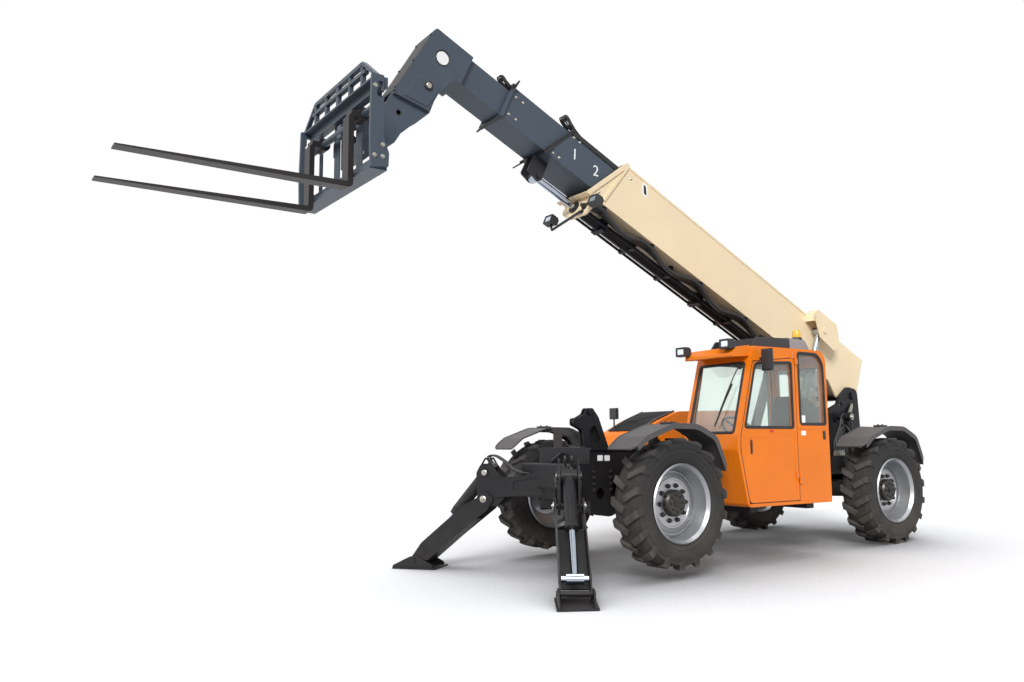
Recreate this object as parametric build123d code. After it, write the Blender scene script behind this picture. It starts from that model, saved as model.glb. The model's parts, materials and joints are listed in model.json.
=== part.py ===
from build123d import *
import os
from math import atan2, cos, degrees, hypot, radians, sin

# Telescopic handler with a four-section boom, fork carriage, two front stabilizers and
# four steered wheels.  Millimetres.  Everything is first drawn on a level chassis:
# +X forwards, +Y to the left, +Z up, x = 0 at the rear axle and z = 0 at the tyres' foot.
# The stance at the end of the file lifts the nose on the stabilizers.

# ---------------------------------------------------------------- driving dimensions
WHEELBASE = 3600
TYRE_RADIUS = 625
TYRE_WIDTH = 370
WHEEL_Y = 1000               # middle of a tyre
RIM_RADIUS = 384             # outside of the rim's flange
LUG_HEIGHT = 30
LUG_COUNT = 18               # lugs on one shoulder
LUG_WIDTH = 62
LUG_DEPTH = 92               # how far a lug runs down the sidewall
LUG_SLANT = 28               # degrees
LUG_PROUD = 6                # of the sidewall
LUG_BEVEL = 20
RIM_LIP = 24
RIM_WALL = 12
HUB_RADIUS = 130
HUB_FACE = 85                # outer face of the hub from the tyre's middle
HUB_CAP = 22
DISC_Y = 20                  # outer face of the wheel disc from the tyre's middle
DISC_THICK = 14
HUB_BACK = -40               # inner face of the hub
KINGPIN_Y = 780
KINGPIN_RADIUS = 30
SPINDLE_RADIUS = 60
FIT = 0.05                   # radial clearance of a pin or shaft in its bore
GAP = 6                      # between pieces that move past each other

NOSE_UP = 1.41               # degrees that the stabilizers lift the nose
SWEEP = 35                   # degrees that the stabilizers point forwards of square

FRAME_Y = 420                # outside of the frame's side plates
FRAME_PLATE = 25
FRAME_TOP = 1010
DECK_TOP = 1160              # deck over the frame's nose
ARCH_TOP = 1000              # stabilizer beam at the machine's middle
NOSE_X = WHEELBASE + 530     # front plate of the frame
NOSE_END = NOSE_X + 240      # front of the stabilizer beam
PAD_X = NOSE_X + 945         # place of a stabilizer's pad
PAD_Y = 1351
FRAME_BACK = -700

PIVOT_X = -524               # boom pivot
PIVOT_Z = 1811
PIVOT_RADIUS = 50
PIN_PLAY = 6                 # between the side of an eye and the plate beside it
BOOM_ANGLE = 24.7            # degrees above the chassis

# travel of the moving pieces from this pose, degrees and metres
BOOM_LIFT_RANGE = (-28.7, 43.3)
EXTEND_RANGE = (-0.45, 2.9)
TILT_RANGE = (-40, 70)
FORK_RANGE = (-0.3, 0.27)
LEG_RANGE = (0, 104)
PAD_RANGE = (-25, 25)
DOOR_RANGE = (0, 95)

CAB_Y = (430, 1170)
CAB_WALL = 45
HOOD_Y = (-1150, -430)


# ---------------------------------------------------------------- drawing helpers
def block(x, y, z):
    """A box from three (low, high) pairs."""
    middle = [(pair[0] + pair[1]) / 2 for pair in (x, y, z)]
    size = [pair[1] - pair[0] for pair in (x, y, z)]
    return Pos(*middle) * Box(*size)


def bar(start, end, radius):
    """A round bar between two points."""
    way = Vector(*end) - Vector(*start)
    foot = (Align.CENTER, Align.CENTER, Align.MIN)
    return Plane(origin=start, z_dir=way) * Cylinder(radius, way.length, align=foot)


def cross_pin(x, z, y, radius):
    """A round bar along Y at (x, z), from y[0] to y[1]."""
    return bar((x, y[0], z), (x, y[1], z), radius)


def side_plate(points, y, radii=0):
    """A plate whose outline in (x, z) is given, from y[0] to y[1]."""
    outline = make_face(FilletPolyline(*points, radius=radii, close=True))
    plate = extrude(outline, y[1] - y[0], dir=(0, 0, 1))
    return Plane(origin=(0, y[1], 0), x_dir=(1, 0, 0), z_dir=(0, -1, 0)) * plate


def flat_plate(points, z, radii=0):
    """A plate whose outline in (x, y) is given, from z[0] to z[1]."""
    outline = make_face(FilletPolyline(*points, radius=radii, close=True))
    return Pos(0, 0, z[0]) * extrude(outline, z[1] - z[0], dir=(0, 0, 1))


def turned(points, y=0):
    """A body turned about a Y axis, from (radius, y) points."""
    outline = make_face(Polyline(*[(r, w, 0) for r, w in points], close=True))
    return Pos(0, y, 0) * revolve(outline, Axis.Y)


def mirrored(shape):
    """The same shape on the other side of the machine."""
    return mirror(shape, about=Plane.XZ)


def pair(shape):
    """The shape and its mirror image, as two solids of one piece."""
    return Compound(children=[*solids_of(shape), *solids_of(mirrored(shape))])


def solids_of(shape):
    return list(shape.solids())


def fuse(first, *others):
    for other in others:
        first = first + other
    return first


# ---------------------------------------------------------------- wheels
def make_tyre():
    """Carcass with two rows of slanting lugs, about its own centre, outside at +Y."""
    half = TYRE_WIDTH / 2
    base = TYRE_RADIUS - LUG_HEIGHT
    bead = RIM_RADIUS - RIM_LIP
    carcass = turned([(bead, -0.72 * half), (RIM_RADIUS + 40, -0.93 * half),
                      (base - 95, -half), (base - 25, -0.92 * half), (base, -0.62 * half),
                      (base, 0.62 * half), (base - 25, 0.92 * half), (base - 95, half),
                      (RIM_RADIUS + 40, 0.93 * half), (bead, 0.72 * half)])
    step = 360 / LUG_COUNT
    lug_long = 0.56 * TYRE_WIDTH
    for side, turn in ((1, 0), (-1, step / 2)):
        for k in range(LUG_COUNT):
            lug = Box(LUG_WIDTH, lug_long, LUG_DEPTH)
            place = Rot(0, turn + k * step, 0) * Pos(0, side * 0.26 * TYRE_WIDTH,
                                                     TYRE_RADIUS - LUG_DEPTH / 2)
            carcass = carcass + place * Rot(0, 0, side * LUG_SLANT) * lug
    shoulder = half + LUG_PROUD
    drum = turned([(bead, -shoulder), (TYRE_RADIUS - LUG_DEPTH, -shoulder),
                   (TYRE_RADIUS, -half + LUG_BEVEL), (TYRE_RADIUS, half - LUG_BEVEL),
                   (TYRE_RADIUS - LUG_DEPTH, shoulder), (bead, shoulder)])
    return carcass & drum


def make_rim():
    """Dished wheel with a hub drum, about its own centre, outside at +Y."""
    half = TYRE_WIDTH / 2
    bead = RIM_RADIUS - RIM_LIP
    seat = bead - RIM_WALL
    ring = turned([(bead, -0.72 * half), (RIM_RADIUS, -0.86 * half),
                   (RIM_RADIUS - RIM_WALL, -0.93 * half), (seat, -0.74 * half),
                   (seat - RIM_WALL, 0), (seat, 0.74 * half),
                   (RIM_RADIUS - RIM_WALL, 0.93 * half), (RIM_RADIUS, 0.86 * half),
                   (bead, 0.72 * half), (bead, 0)])
    inner = HUB_RADIUS - 15
    foot = seat - 0.7 * RIM_WALL
    dish = turned([(inner, DISC_Y - DISC_THICK), (230, DISC_Y - DISC_THICK), (foot, -45),
                   (foot, -25), (235, DISC_Y), (inner, DISC_Y)])
    bore = SPINDLE_RADIUS + FIT
    hub = turned([(bore, HUB_BACK), (HUB_RADIUS, HUB_BACK), (HUB_RADIUS, HUB_FACE - 20),
                  (HUB_RADIUS - 15, HUB_FACE), (0, HUB_FACE), (0, HUB_FACE - HUB_CAP),
                  (bore, HUB_FACE - HUB_CAP)])
    return fuse(ring, dish, hub)


# ---------------------------------------------------------------- axles and steering
AXLE_Z = TYRE_RADIUS
YOKE_HALF = 165              # half height over a yoke
YOKE_PLATE = 30
KINGPIN_PROUD = 8            # how far a kingpin stands out of its yoke
FENDER_OUT = (800, 1190)     # y of a fender's two edges


def make_axle():
    """Axle housing with a yoke at each end, about its own middle."""
    tube_end = KINGPIN_Y - 115
    housing = turned([(0, -230), (130, -230), (190, -90), (190, 90), (130, 230), (0, 230)])
    tubes = turned([(0, -tube_end), (95, -tube_end), (110, -230), (110, 230), (95, tube_end),
                    (0, tube_end)])
    axle = housing + tubes
    inner = YOKE_HALF - YOKE_PLATE
    for side in (1, -1):
        axle = axle + block((-80, 80), sorted((side * (tube_end - 30), side * tube_end)),
                            (-YOKE_HALF, YOKE_HALF))
        for low, high in ((-YOKE_HALF, -inner), (inner, YOKE_HALF)):
            arm = block((-75, 75), sorted((side * (tube_end - 10), side * KINGPIN_Y)), (low, high))
            eye = Pos(0, side * KINGPIN_Y, (low + high) / 2) * Cylinder(75, YOKE_PLATE)
            axle = axle + arm + eye
        bore = Pos(0, side * KINGPIN_Y, 0) * Cylinder(KINGPIN_RADIUS + FIT, 2 * YOKE_HALF + 2)
        axle = axle - bore
    return axle


def make_knuckle():
    """Left steering knuckle about the wheel's centre: kingpin, brake housing and spindle."""
    king = KINGPIN_Y - WHEEL_Y
    inner = YOKE_HALF - YOKE_PLATE - GAP
    face = HUB_BACK - GAP
    barrel = Pos(0, king, 0) * Cylinder(68, 2 * inner)
    pin = Pos(0, king, 0) * Cylinder(KINGPIN_RADIUS, 2 * (YOKE_HALF + KINGPIN_PROUD))
    housing = turned([(0, king), (60, king), (120, king + 90), (150, king + 110),
                      (150, face - 14), (136, face), (0, face)])
    spindle = bar((0, face - 1, 0), (0, HUB_FACE - HUB_CAP - 8, 0), SPINDLE_RADIUS)
    return fuse(barrel, pin, housing, spindle)


# A fender's outline beside its wheel, as (x, z) from the wheel's centre.
FENDER_LINE = [(640, 520), (480, 640), (120, 760), (-220, 755), (-480, 640), (-640, 300)]
FENDER_THICK = 10
FENDER_INNER = 0.985         # the skin's inside, as a share of its outline
FENDER_LIP = 0.94            # the flange's edge, as a share of the outline


def make_fender():
    """Left fender about the wheel's centre, on a post that rises from the knuckle."""
    low, high = (edge - WHEEL_Y for edge in FENDER_OUT)
    bends = [0, 90, 300, 300, 160, 0]
    inner = [(x * FENDER_INNER, z * FENDER_INNER) for x, z in FENDER_LINE]
    skin = side_plate(FENDER_LINE + inner[::-1], (low, high), bends + bends[::-1])
    lip = [(x * FENDER_LIP, z * FENDER_LIP) for x, z in FENDER_LINE]
    flange = side_plate(FENDER_LINE + lip[::-1], (high - FENDER_THICK, high), bends + bends[::-1])
    front, back = FENDER_LINE[0][0], FENDER_LINE[-1][0]
    plan = flat_plate([(back - 1, low), (back - 1, high), (front + 1, high), (front + 1, low)],
                      (0, 2 * TYRE_RADIUS), [20, 70, 110, 40])
    skin = (skin + flange) & plan
    king = KINGPIN_Y - WHEEL_Y
    foot = YOKE_HALF + KINGPIN_PROUD
    post = block((-60, 60), (king - 10, king + 10), (foot, 730))
    arm = block((-60, 60), (king - 10, low + 150), (715, 755))
    arm = arm & side_plate(FENDER_LINE, (king - 10, high), bends)
    return fuse(skin, post, arm)


# ---------------------------------------------------------------- frame
# round openings in a side plate: (x, z, radius)
FRAME_HOLES = [(-480, 780, 60), (700, 780, 75), (1900, 780, 75), (2850, 780, 75),
               (NOSE_X - 145, 700, 60)]


def make_frame():
    """Two side plates joined by cross members, open from above and below."""
    axle = WHEELBASE
    side = [(FRAME_BACK, 560), (-330, 560), (-250, 800), (250, 800), (420, 560),
            (axle - 450, 560), (axle - 300, 830), (axle + 230, 830), (axle + 280, 500),
            (NOSE_X, 500), (NOSE_X, DECK_TOP), (axle - 180, DECK_TOP), (axle - 350, FRAME_TOP),
            (FRAME_BACK, FRAME_TOP)]
    bends = [40, 60, 60, 60, 60, 60, 60, 40, 40, 0, 0, 60, 120, 40]
    inside = FRAME_Y - FRAME_PLATE
    frame = side_plate(side, (inside, FRAME_Y), bends)
    holes = [cross_pin(x, z, (inside - 1, FRAME_Y + 1), r) for x, z, r in FRAME_HOLES]
    frame = frame - holes
    frame = frame + mirrored(frame)
    # cross members: (x low, x high, z low, z high)
    members = [(FRAME_BACK, FRAME_BACK + 260, 580, FRAME_TOP - 20), (-200, 180, 860, 985),
               (480, 620, 600, 760), (1500, 1620, 600, 900), (2500, 2620, 600, 900),
               (axle - 250, axle + 200, 890, 1000), (NOSE_X - 30, NOSE_X, 520, DECK_TOP - 10),
               (axle - 200, NOSE_X, DECK_TOP - 30, DECK_TOP)]
    for x0, x1, z0, z1 in members:
        frame = frame + block((x0, x1), (-inside, inside), (z0, z1))
    rail = block((axle - 160, NOSE_X), (FRAME_Y, FRAME_Y + 22), (DECK_TOP - 26, DECK_TOP))
    foot = make_lift_foot()
    pod = make_engine_tray()
    return fuse(frame, rail, mirrored(rail), foot, mirrored(foot), pod, *make_cab_mounts())


TOWER_Y = (262, 300)
TIE_DOWN = (-270, 1690)      # (x, z) of the tie-down hole in each tower plate
TIE_DOWN_RADIUS = 30
LOCK_TOP = (-160, 1523)      # (x, z) of an axle lock cylinder's upper pin
LOCK_Y = 475
LOCK_GLAND = 1180
LOCK_FOOT = 880              # height of its lower eye
LIFT_FOOT = (900, 950)       # (x, z) of the lift cylinders' foot pin
LIFT_Y = 325
EYE_PIN_RADIUS = 32


def make_tower():
    """Two black plates on the frame's tail that carry the boom's pivot pin."""
    outline = [(-690, FRAME_TOP), (150, FRAME_TOP), (90, 1500), (-30, 1640), (-190, 1700),
               (-250, 1800), (-430, 1930), (-640, 1900), (-660, 1600)]
    plate = side_plate(outline, TOWER_Y, [0, 0, 120, 60, 50, 90, 90, 90, 200])
    plate = plate - cross_pin(*TIE_DOWN, TOWER_Y, TIE_DOWN_RADIUS)
    plate = plate - cross_pin(-430, 1330, TOWER_Y, 85)
    boss = cross_pin(*LOCK_TOP, (TOWER_Y[0], LOCK_Y + 45), 34)
    ring = cross_pin(*LOCK_TOP, (TOWER_Y[1] - 1, TOWER_Y[1] + 22), 70)
    tower = fuse(plate, boss, ring)
    tower = tower + mirrored(tower)
    deck = block((-690, 150), (-FRAME_Y, FRAME_Y), (FRAME_TOP, FRAME_TOP + 20))
    brace = block((-690, -660), (-TOWER_Y[0], TOWER_Y[0]), (FRAME_TOP, 1500))
    pin = cross_pin(PIVOT_X, PIVOT_Z, (-TOWER_Y[1] - 25, TOWER_Y[1] + 25), PIVOT_RADIUS)
    return fuse(tower, deck, brace, pin)


def make_axle_locks():
    """The two upright cylinders that hold the rear axle still, closed pieces of the chassis."""
    x, top = LOCK_TOP
    skin = 44
    head = cross_pin(x, top, (LOCK_Y - 30, LOCK_Y + 30), 58)
    head = head - cross_pin(x, top, (LOCK_Y - 31, LOCK_Y + 31), 34 + FIT)
    barrel = bar((x, LOCK_Y, top - 54), (x, LOCK_Y, LOCK_GLAND), skin)
    gland = bar((x, LOCK_Y, LOCK_GLAND + 40), (x, LOCK_Y, LOCK_GLAND - 12), skin + 8)
    rod = bar((x, LOCK_Y, LOCK_GLAND), (x, LOCK_Y, LOCK_FOOT + 40), 24)
    foot = cross_pin(x, LOCK_FOOT, (LOCK_Y - 28, LOCK_Y + 28), 46)
    lock = fuse(head, barrel, gland, rod, foot)
    return Compound(children=[*solids_of(lock), *solids_of(mirrored(lock))])


def make_lift_foot():
    """Left bracket inside the frame, with a lift cylinder's foot pin."""
    x, z = LIFT_FOOT
    inside = FRAME_Y - FRAME_PLATE
    foot = cross_pin(x, z, (LIFT_Y - 75, inside), EYE_PIN_RADIUS)
    web = block((x - 90, x + 90), (LIFT_Y - 95, LIFT_Y - 75), (z - 330, z + 60))
    floor = block((x - 90, x + 90), (LIFT_Y - 95, inside), (z - 350, z - 330))
    return fuse(foot, web, floor)


# ---------------------------------------------------------------- stabilizers
ARM_HALF = 128               # half width of a fixed arm
LEG_HALF = 135               # half width of a leg over its side plates
LEG_PLATE = 12
LEG_PIN_RADIUS = 28
LEG_REACH = 803              # level distance from a leg's pivot to its pad
LEG_PIVOT_Z = 626
RAM_PIN_RISE = 275           # the stabilizer cylinder's upper pin above the leg's pivot


def stance():
    """Turns the level chassis nose up about the rear wheels' axis."""
    return Pos(0, 0, TYRE_RADIUS) * Rot(0, -NOSE_UP, 0) * Pos(0, 0, -TYRE_RADIUS)


def height_on_chassis(x, z):
    """The level chassis' z of what stands at height z once the nose is lifted, at x."""
    rise = z - TYRE_RADIUS - x * sin(radians(NOSE_UP))
    return TYRE_RADIUS + rise / cos(radians(NOSE_UP))


LEG_X = PAD_X - LEG_REACH * sin(radians(SWEEP))
LEG_Y = PAD_Y - LEG_REACH * cos(radians(SWEEP))
PAD_PIN_HEIGHT = 90
PAD_PIN_Z = height_on_chassis(PAD_X, PAD_PIN_HEIGHT)
LEG_DROP = LEG_PIVOT_Z - PAD_PIN_Z
# the rod's eye on the leg, from the leg's pivot
RAM_EYE = (LEG_REACH - 95, -LEG_DROP + 105)


def left_leg_place():
    """Where the left leg's own frame sits: its X points outboard, its Z up."""
    return Location((LEG_X, LEG_Y, LEG_PIVOT_Z), (0, 0, 90 - SWEEP))


def make_stabilizer_arm():
    """Left fixed arm in the leg's frame: arched box beam with two ears at its end."""
    rise = ARCH_TOP - LEG_PIVOT_Z
    back = -1010
    web = 10
    line = [(back, 75), (-130, 20), (-60, 215), (-420, 245), (back, rise)]
    beam = side_plate(line, (-ARM_HALF, ARM_HALF), [0, 0, 60, 500, 0])
    skin = ARM_HALF - web
    for side in (1, -1):
        y = sorted((side * skin, side * (ARM_HALF + 1)))
        recess = side_plate([(back, 130), (-330, 92), (-330, 190), (-420, 200), (back, rise - 60)],
                            y, [0, 20, 20, 400, 0])
        beam = beam - recess
    slot = LEG_HALF - LEG_PLATE - 20
    ear = side_plate([(-140, -70), (60, -90), (85, 20), (95, 275), (40, 370), (-60, 370),
                      (-200, 215), (-240, 30)], (slot - 20, slot), [30, 60, 60, 80, 60, 60, 60, 60])
    guard = [(-80, 350), (50, 350), (-15, 455)]
    hoop = side_plate(guard, (slot - 16, slot - 6), [8, 8, 25])
    hoop = hoop - side_plate([(-52, 364), (22, 364), (-15, 425)], (slot - 17, slot - 5), [5, 5, 15])
    ear = ear + hoop
    boss = cross_pin(0, RAM_PIN_RISE, (slot - 1, slot + 14), 44)
    pin = cross_pin(0, RAM_PIN_RISE, (0, slot), LEG_PIN_RADIUS)
    ear = fuse(ear, boss, pin)
    bore = cross_pin(0, 0, (-LEG_HALF, LEG_HALF), LEG_PIN_RADIUS + FIT)
    notch = block((-125, 200), (-slot + 20, slot - 20), (-200, 400))
    return fuse(beam - notch, ear, mirrored(ear)) - bore


def make_stabilizer_beam():
    """Nose block between the frame and the arms, with both arms and the lifting eye."""
    nose = side_plate([(NOSE_X, 640), (NOSE_END - 60, 640), (NOSE_END, 760),
                       (NOSE_END, ARCH_TOP), (NOSE_X, ARCH_TOP)], (-FRAME_Y, FRAME_Y),
                      [0, 30, 40, 20, 0])
    arm = left_leg_place() * make_stabilizer_arm()
    keep = block((NOSE_X, PAD_X), (-50, PAD_Y), (0, 2000))
    arm = arm & keep
    eye = side_plate([(NOSE_X, ARCH_TOP - 1), (NOSE_END - 30, ARCH_TOP - 1),
                      (NOSE_X + 40, ARCH_TOP + 105), (NOSE_X, ARCH_TOP + 105)], (-12, 12),
                     [0, 20, 30, 0])
    eye = eye - cross_pin(NOSE_X + 70, ARCH_TOP + 45, (-13, 13), 22)
    return fuse(nose, arm, mirrored(arm), eye)


def leg_angle():
    return degrees(atan2(-LEG_DROP, LEG_REACH))


def on_leg(x, z):
    """A point of the leg's frame as length along the leg and height over its middle."""
    turn = radians(leg_angle())
    return (x * cos(turn) + z * sin(turn), -x * sin(turn) + z * cos(turn))


LEG_LENGTH = hypot(LEG_REACH, LEG_DROP)
RAM_EYE_ON_LEG = on_leg(*RAM_EYE)
PAD_PIN_RADIUS = 24
PAD_HALF = (258, 173)        # half size of a pad, outboard and fore-and-aft


def make_leg():
    """Left leg in the leg's frame: a channel, open above, from the pivot to the pad pin."""
    end = LEG_LENGTH
    inner = LEG_HALF - LEG_PLATE
    side = [(-95, -70), (40, -110), (end - 60, -80), (end + 42, -35), (end + 42, 40),
            (end - 180, 95), (220, 95), (60, 60), (-60, 70)]
    outer = side_plate(side, (inner, LEG_HALF), [50, 60, 60, 30, 30, 60, 60, 40, 50])
    round_plate = cross_pin(0, 0, (LEG_HALF - 1, LEG_HALF + 6), 74)
    ram_boss = cross_pin(*RAM_EYE_ON_LEG, (LEG_HALF - 1, LEG_HALF + 5), 44)
    outer = fuse(outer, round_plate, ram_boss)
    floor = block((230, end - 120), (-LEG_HALF, LEG_HALF), (-95, -80))
    pin = cross_pin(0, 0, (-LEG_HALF - 12, LEG_HALF + 12), LEG_PIN_RADIUS)
    bore = cross_pin(end, 0, (-200, 200), PAD_PIN_RADIUS + FIT)
    return Rot(0, -leg_angle(), 0) * (fuse(outer, mirrored(outer), floor, pin) - bore)


def make_pad():
    """Left pad on the chassis: a plate level on the ground, two cheeks and the pin."""
    drop = PAD_PIN_HEIGHT
    half_u, half_v = PAD_HALF
    low = -drop + 8
    near = LEG_HALF + GAP
    cheek = side_plate([(-half_u + 40, low), (half_u - 5, low), (half_u - 5, -60),
                        (45, 40), (-45, 40), (-half_u + 40, -40)],
                       (near, near + 14), [0, 0, 10, 40, 40, 20])
    pin = cross_pin(0, 0, (-near - 24, near + 24), PAD_PIN_RADIUS)
    upper = Location((PAD_X, PAD_Y, PAD_PIN_Z), (0, 0, 90 - SWEEP)) * fuse(cheek, mirrored(cheek), pin)
    ground = (stance() * Location((PAD_X, PAD_Y, PAD_PIN_Z))).position
    plate = flat_plate([(-half_u, -half_v), (half_u, -half_v), (half_u, half_v), (-half_u, half_v)],
                       (0, 16), 18)
    plate = Location((ground.X, ground.Y, 0), (0, 0, 90 - SWEEP)) * plate
    return upper + stance().inverse() * plate


def cylinder_between(foot, eye, pin, bore, rod, closed, long, widths, y=0):
    """Barrel and rod of a cylinder from its foot pin to its rod's eye, both (x, z).

    closed is the barrel's length from the foot pin to its gland, long the rod's length
    back from its eye, pin the foot pin's radius, and widths are those of the foot and
    the eye.  The eye's pin is part of the rod, because that is where the loop opens."""
    way = Vector(eye[0] - foot[0], 0, eye[1] - foot[1])
    unit = way.normalized()
    across = Vector(-unit.Z, 0, unit.X)
    start = Vector(foot[0], y, foot[1])
    stop = Vector(eye[0], y, eye[1])
    skin = bore + 9
    barrel = bar(start + unit * (0.7 * skin), start + unit * closed, skin)
    collar = bar(start + unit * (closed - 60), start + unit * closed, skin + 5)
    foot_eye = cross_pin(foot[0], foot[1], (y - widths[0] / 2, y + widths[0] / 2), skin)
    side = across * (skin + 4)
    tube = bar(start + unit * (1.3 * skin) + side, start + unit * (closed - 25) + side, 9)
    ports = [bar(start + unit * at + across * (skin - 5), start + unit * at + side, 13)
             for at in (1.3 * skin + 12, closed - 35)]
    inside = bar(start + unit * (skin + 6), start + unit * (closed + 5), rod + FIT)
    foot_bore = cross_pin(foot[0], foot[1], (y - widths[0], y + widths[0]), pin + FIT)
    barrel = fuse(barrel, collar, foot_eye, tube, *ports) - inside - foot_bore
    shaft = bar(stop - unit * long, stop, rod)
    head = cross_pin(eye[0], eye[1], (y - widths[1] / 2, y + widths[1] / 2), rod + 18)
    return barrel, shaft + head


def make_stabilizer_cylinder():
    """Left stabilizer's barrel, and its rod with the pin that ends inside the leg's plates."""
    barrel, rod = cylinder_between((0, RAM_PIN_RISE), RAM_EYE, LEG_PIN_RADIUS, 50, 30, 592, 560,
                                   (150, 150))
    reach = LEG_HALF - LEG_PLATE - PIN_PLAY
    return barrel, rod + cross_pin(*RAM_EYE, (-reach, reach), LEG_PIN_RADIUS)


# ---------------------------------------------------------------- boom
# Drawn along its own length: X from the pivot to the tip, Z square to it.
# rear end and front end at the top, half width, bottom and top, wall
SECTIONS = {
    "boom_main": dict(x=(-125, 4600), half=245, z=(0, 605), wall=12),
    "boom_section_2": dict(x=(1000, 5347), half=208, z=(100, 545), wall=10),
    "boom_section_3": dict(x=(1830, 6180), half=176, z=(125, 512), wall=9),
    "boom_fly": dict(x=(2630, 6760), half=145, z=(150, 458), wall=8),
}
# how far the front end leans forwards from its top to its bottom, and its collar's
# length and height over the tube
RAKE = {"boom_main": 341, "boom_section_2": 235, "boom_section_3": 0}
COLLAR = {"boom_main": (55, 16), "boom_section_2": (34, 12), "boom_section_3": (40, 20)}


def box_tube(x, half, z, wall):
    outer = block(x, (-half, half), z)
    inner = block((x[0] - 1, x[1] + 1), (-half + wall, half - wall), (z[0] + wall, z[1] - wall))
    return outer - inner


def front_at(name, height):
    """Where a section's raked front end is at this height."""
    low, high = SECTIONS[name]["z"]
    return SECTIONS[name]["x"][1] + RAKE[name] * (high - height) / (high - low)


def make_section(name):
    """One tube of the boom with the raked collar at its front end."""
    size = dict(SECTIONS[name])
    if name == "boom_fly":
        return box_tube(**size)
    low, high = size["z"]
    half = size["half"]
    back, front = size["x"]
    size["x"] = (back, front_at(name, low))
    long, proud = COLLAR[name]
    ahead = [(back, low), (front_at(name, low), low), (front, high), (back, high)]
    tube = box_tube(**size) & side_plate(ahead, (-half, half))
    under, over = low - proud, high + proud
    band = [(front_at(name, under) - long, under), (front_at(name, under), under),
            (front_at(name, over), over), (front_at(name, over) - long, over)]
    collar = side_plate(band, (-half - proud, half + proud))
    hole = block((front - 2 * long - proud, front_at(name, under) + 1), (-half + 1, half - 1),
                 (low + 1, high - 1))
    return tube + (collar - hole)


LIFT_EYE = (960, 460)        # (x, z) of the lift rods' eye on the boom
LUG_Y = (398, 412)           # outer plate of a lift lug
LUG_TOP = 652


def make_boom_main():
    """Main section with its deeper rear plates, pivot bore, ribs and the two lift lugs."""
    main = make_section("boom_main")
    size = SECTIONS["boom_main"]
    half, top = size["half"], size["z"][1]
    rear = side_plate([(-120, top), (-165, 60), (-150, -70), (0, -110), (240, -130), (460, 0),
                       (700, 0), (700, top)], (half - 22, half), [0, 60, 90, 60, 60, 60, 0, 0])
    doubler = cross_pin(0, 0, (half - 1, half + 8), 120)
    cheek = side_plate([(620, 440), (700, 300), (1010, 330), (1250, 590), (1150, LUG_TOP),
                        (760, LUG_TOP)], LUG_Y, [30, 60, 60, 60, 40, 60])
    front_wall = block((1150, 1170), (half, LUG_Y[1]), (500, LUG_TOP - 10))
    top_wall = block((780, 1170), (half, LUG_Y[1]), (LUG_TOP - 15, LUG_TOP))
    cap = cross_pin(*LIFT_EYE, (LUG_Y[1] - 1, LUG_Y[1] + 12), EYE_PIN_RADIUS + 10)
    long, proud = COLLAR["boom_main"]
    fit = front_at("boom_main", top) - long
    rib = side_plate([(fit - 12, top), (fit + 20, top), (fit + 175, 40), (fit + 140, 40)],
                     (half - 1, half + proud))
    edge = block((700, fit - 40), (half - 1, half + 6), (top - 22, top))
    for part in (rear, doubler, cheek, front_wall, top_wall, cap, rib, edge):
        main = main + part + mirrored(part)
    bore = cross_pin(0, 0, (-half - 20, half + 20), PIVOT_RADIUS + FIT)
    return main - bore


EXTEND_Z = -92
EXTEND_BORE = 36             # radius of the extend rod
EXTEND_SKIN = 62
GLAND_END = 4880
BRACKET_X = (4836, 4862)     # hanging plate under the main section's front end


def make_extend():
    """Extend cylinder under the boom: barrel on the main section, rod on the second."""
    barrel = bar((930, 0, EXTEND_Z), (GLAND_END, 0, EXTEND_Z), EXTEND_SKIN)
    gland = bar((BRACKET_X[0] - 40, 0, EXTEND_Z), (GLAND_END, 0, EXTEND_Z), EXTEND_SKIN + 8)
    inside = bar((970, 0, EXTEND_Z), (GLAND_END + 1, 0, EXTEND_Z), EXTEND_BORE + FIT)
    saddles = [block((x, x + 60), (-90, 90), (EXTEND_Z - 75, 0)) for x in (1000, 2800, 4440)]
    hole = bar((900, 0, EXTEND_Z), (GLAND_END + 10, 0, EXTEND_Z), EXTEND_SKIN - 2)
    pipes = [bar((1060, y, EXTEND_Z - 30), (BRACKET_X[0] - 6, y, EXTEND_Z - 30), 16)
             for y in (-105, 105)]
    clips = [block((x, x + 40), (-125, 125), (EXTEND_Z - 50, 0))
             for x in (1700, 2300, 3400, 4000)]
    pieces = [s - hole for s in saddles + clips]
    barrel = fuse(barrel, gland, *pieces, *pipes) - inside
    eye_x = extend_eye()
    rod = bar((1540, 0, EXTEND_Z), (eye_x, 0, EXTEND_Z), EXTEND_BORE)
    eye = cross_pin(eye_x, EXTEND_Z, (-45, 45), 60)
    bore = cross_pin(eye_x, EXTEND_Z, (-50, 50), EYE_PIN_RADIUS + FIT)
    return barrel, rod + eye - bore


def extend_eye():
    """x of the extend rod's pin, under the second section's collar."""
    return front_at("boom_section_2", SECTIONS["boom_section_2"]["z"][0]) - 132


def make_extend_bracket():
    """Cheeks and pin under the second section's collar that the extend rod pushes."""
    name = "boom_section_2"
    low = SECTIONS[name]["z"][0]
    under = low - COLLAR[name][1]
    x = extend_eye()
    tip = front_at(name, under)
    cheek = side_plate([(x - 45, low + 1), (tip, low + 1), (tip + 10, EXTEND_Z - 30),
                        (x + 20, EXTEND_Z - 58), (x - 50, EXTEND_Z - 40)], (52, 68),
                       [0, 0, 30, 40, 40])
    pin = cross_pin(x, EXTEND_Z, (-82, 82), EYE_PIN_RADIUS)
    return fuse(cheek, mirrored(cheek), pin)


# tabs at the collars' corners: y side, z side, how far out, how far up, along the side
EARS_2 = [(-1, -1, 81, 79, 60), (1, -1, 70, 60, 170)]
EARS_3 = [(-1, -1, 105, 24, 80), (1, 1, 64, 58, 120)]


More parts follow.
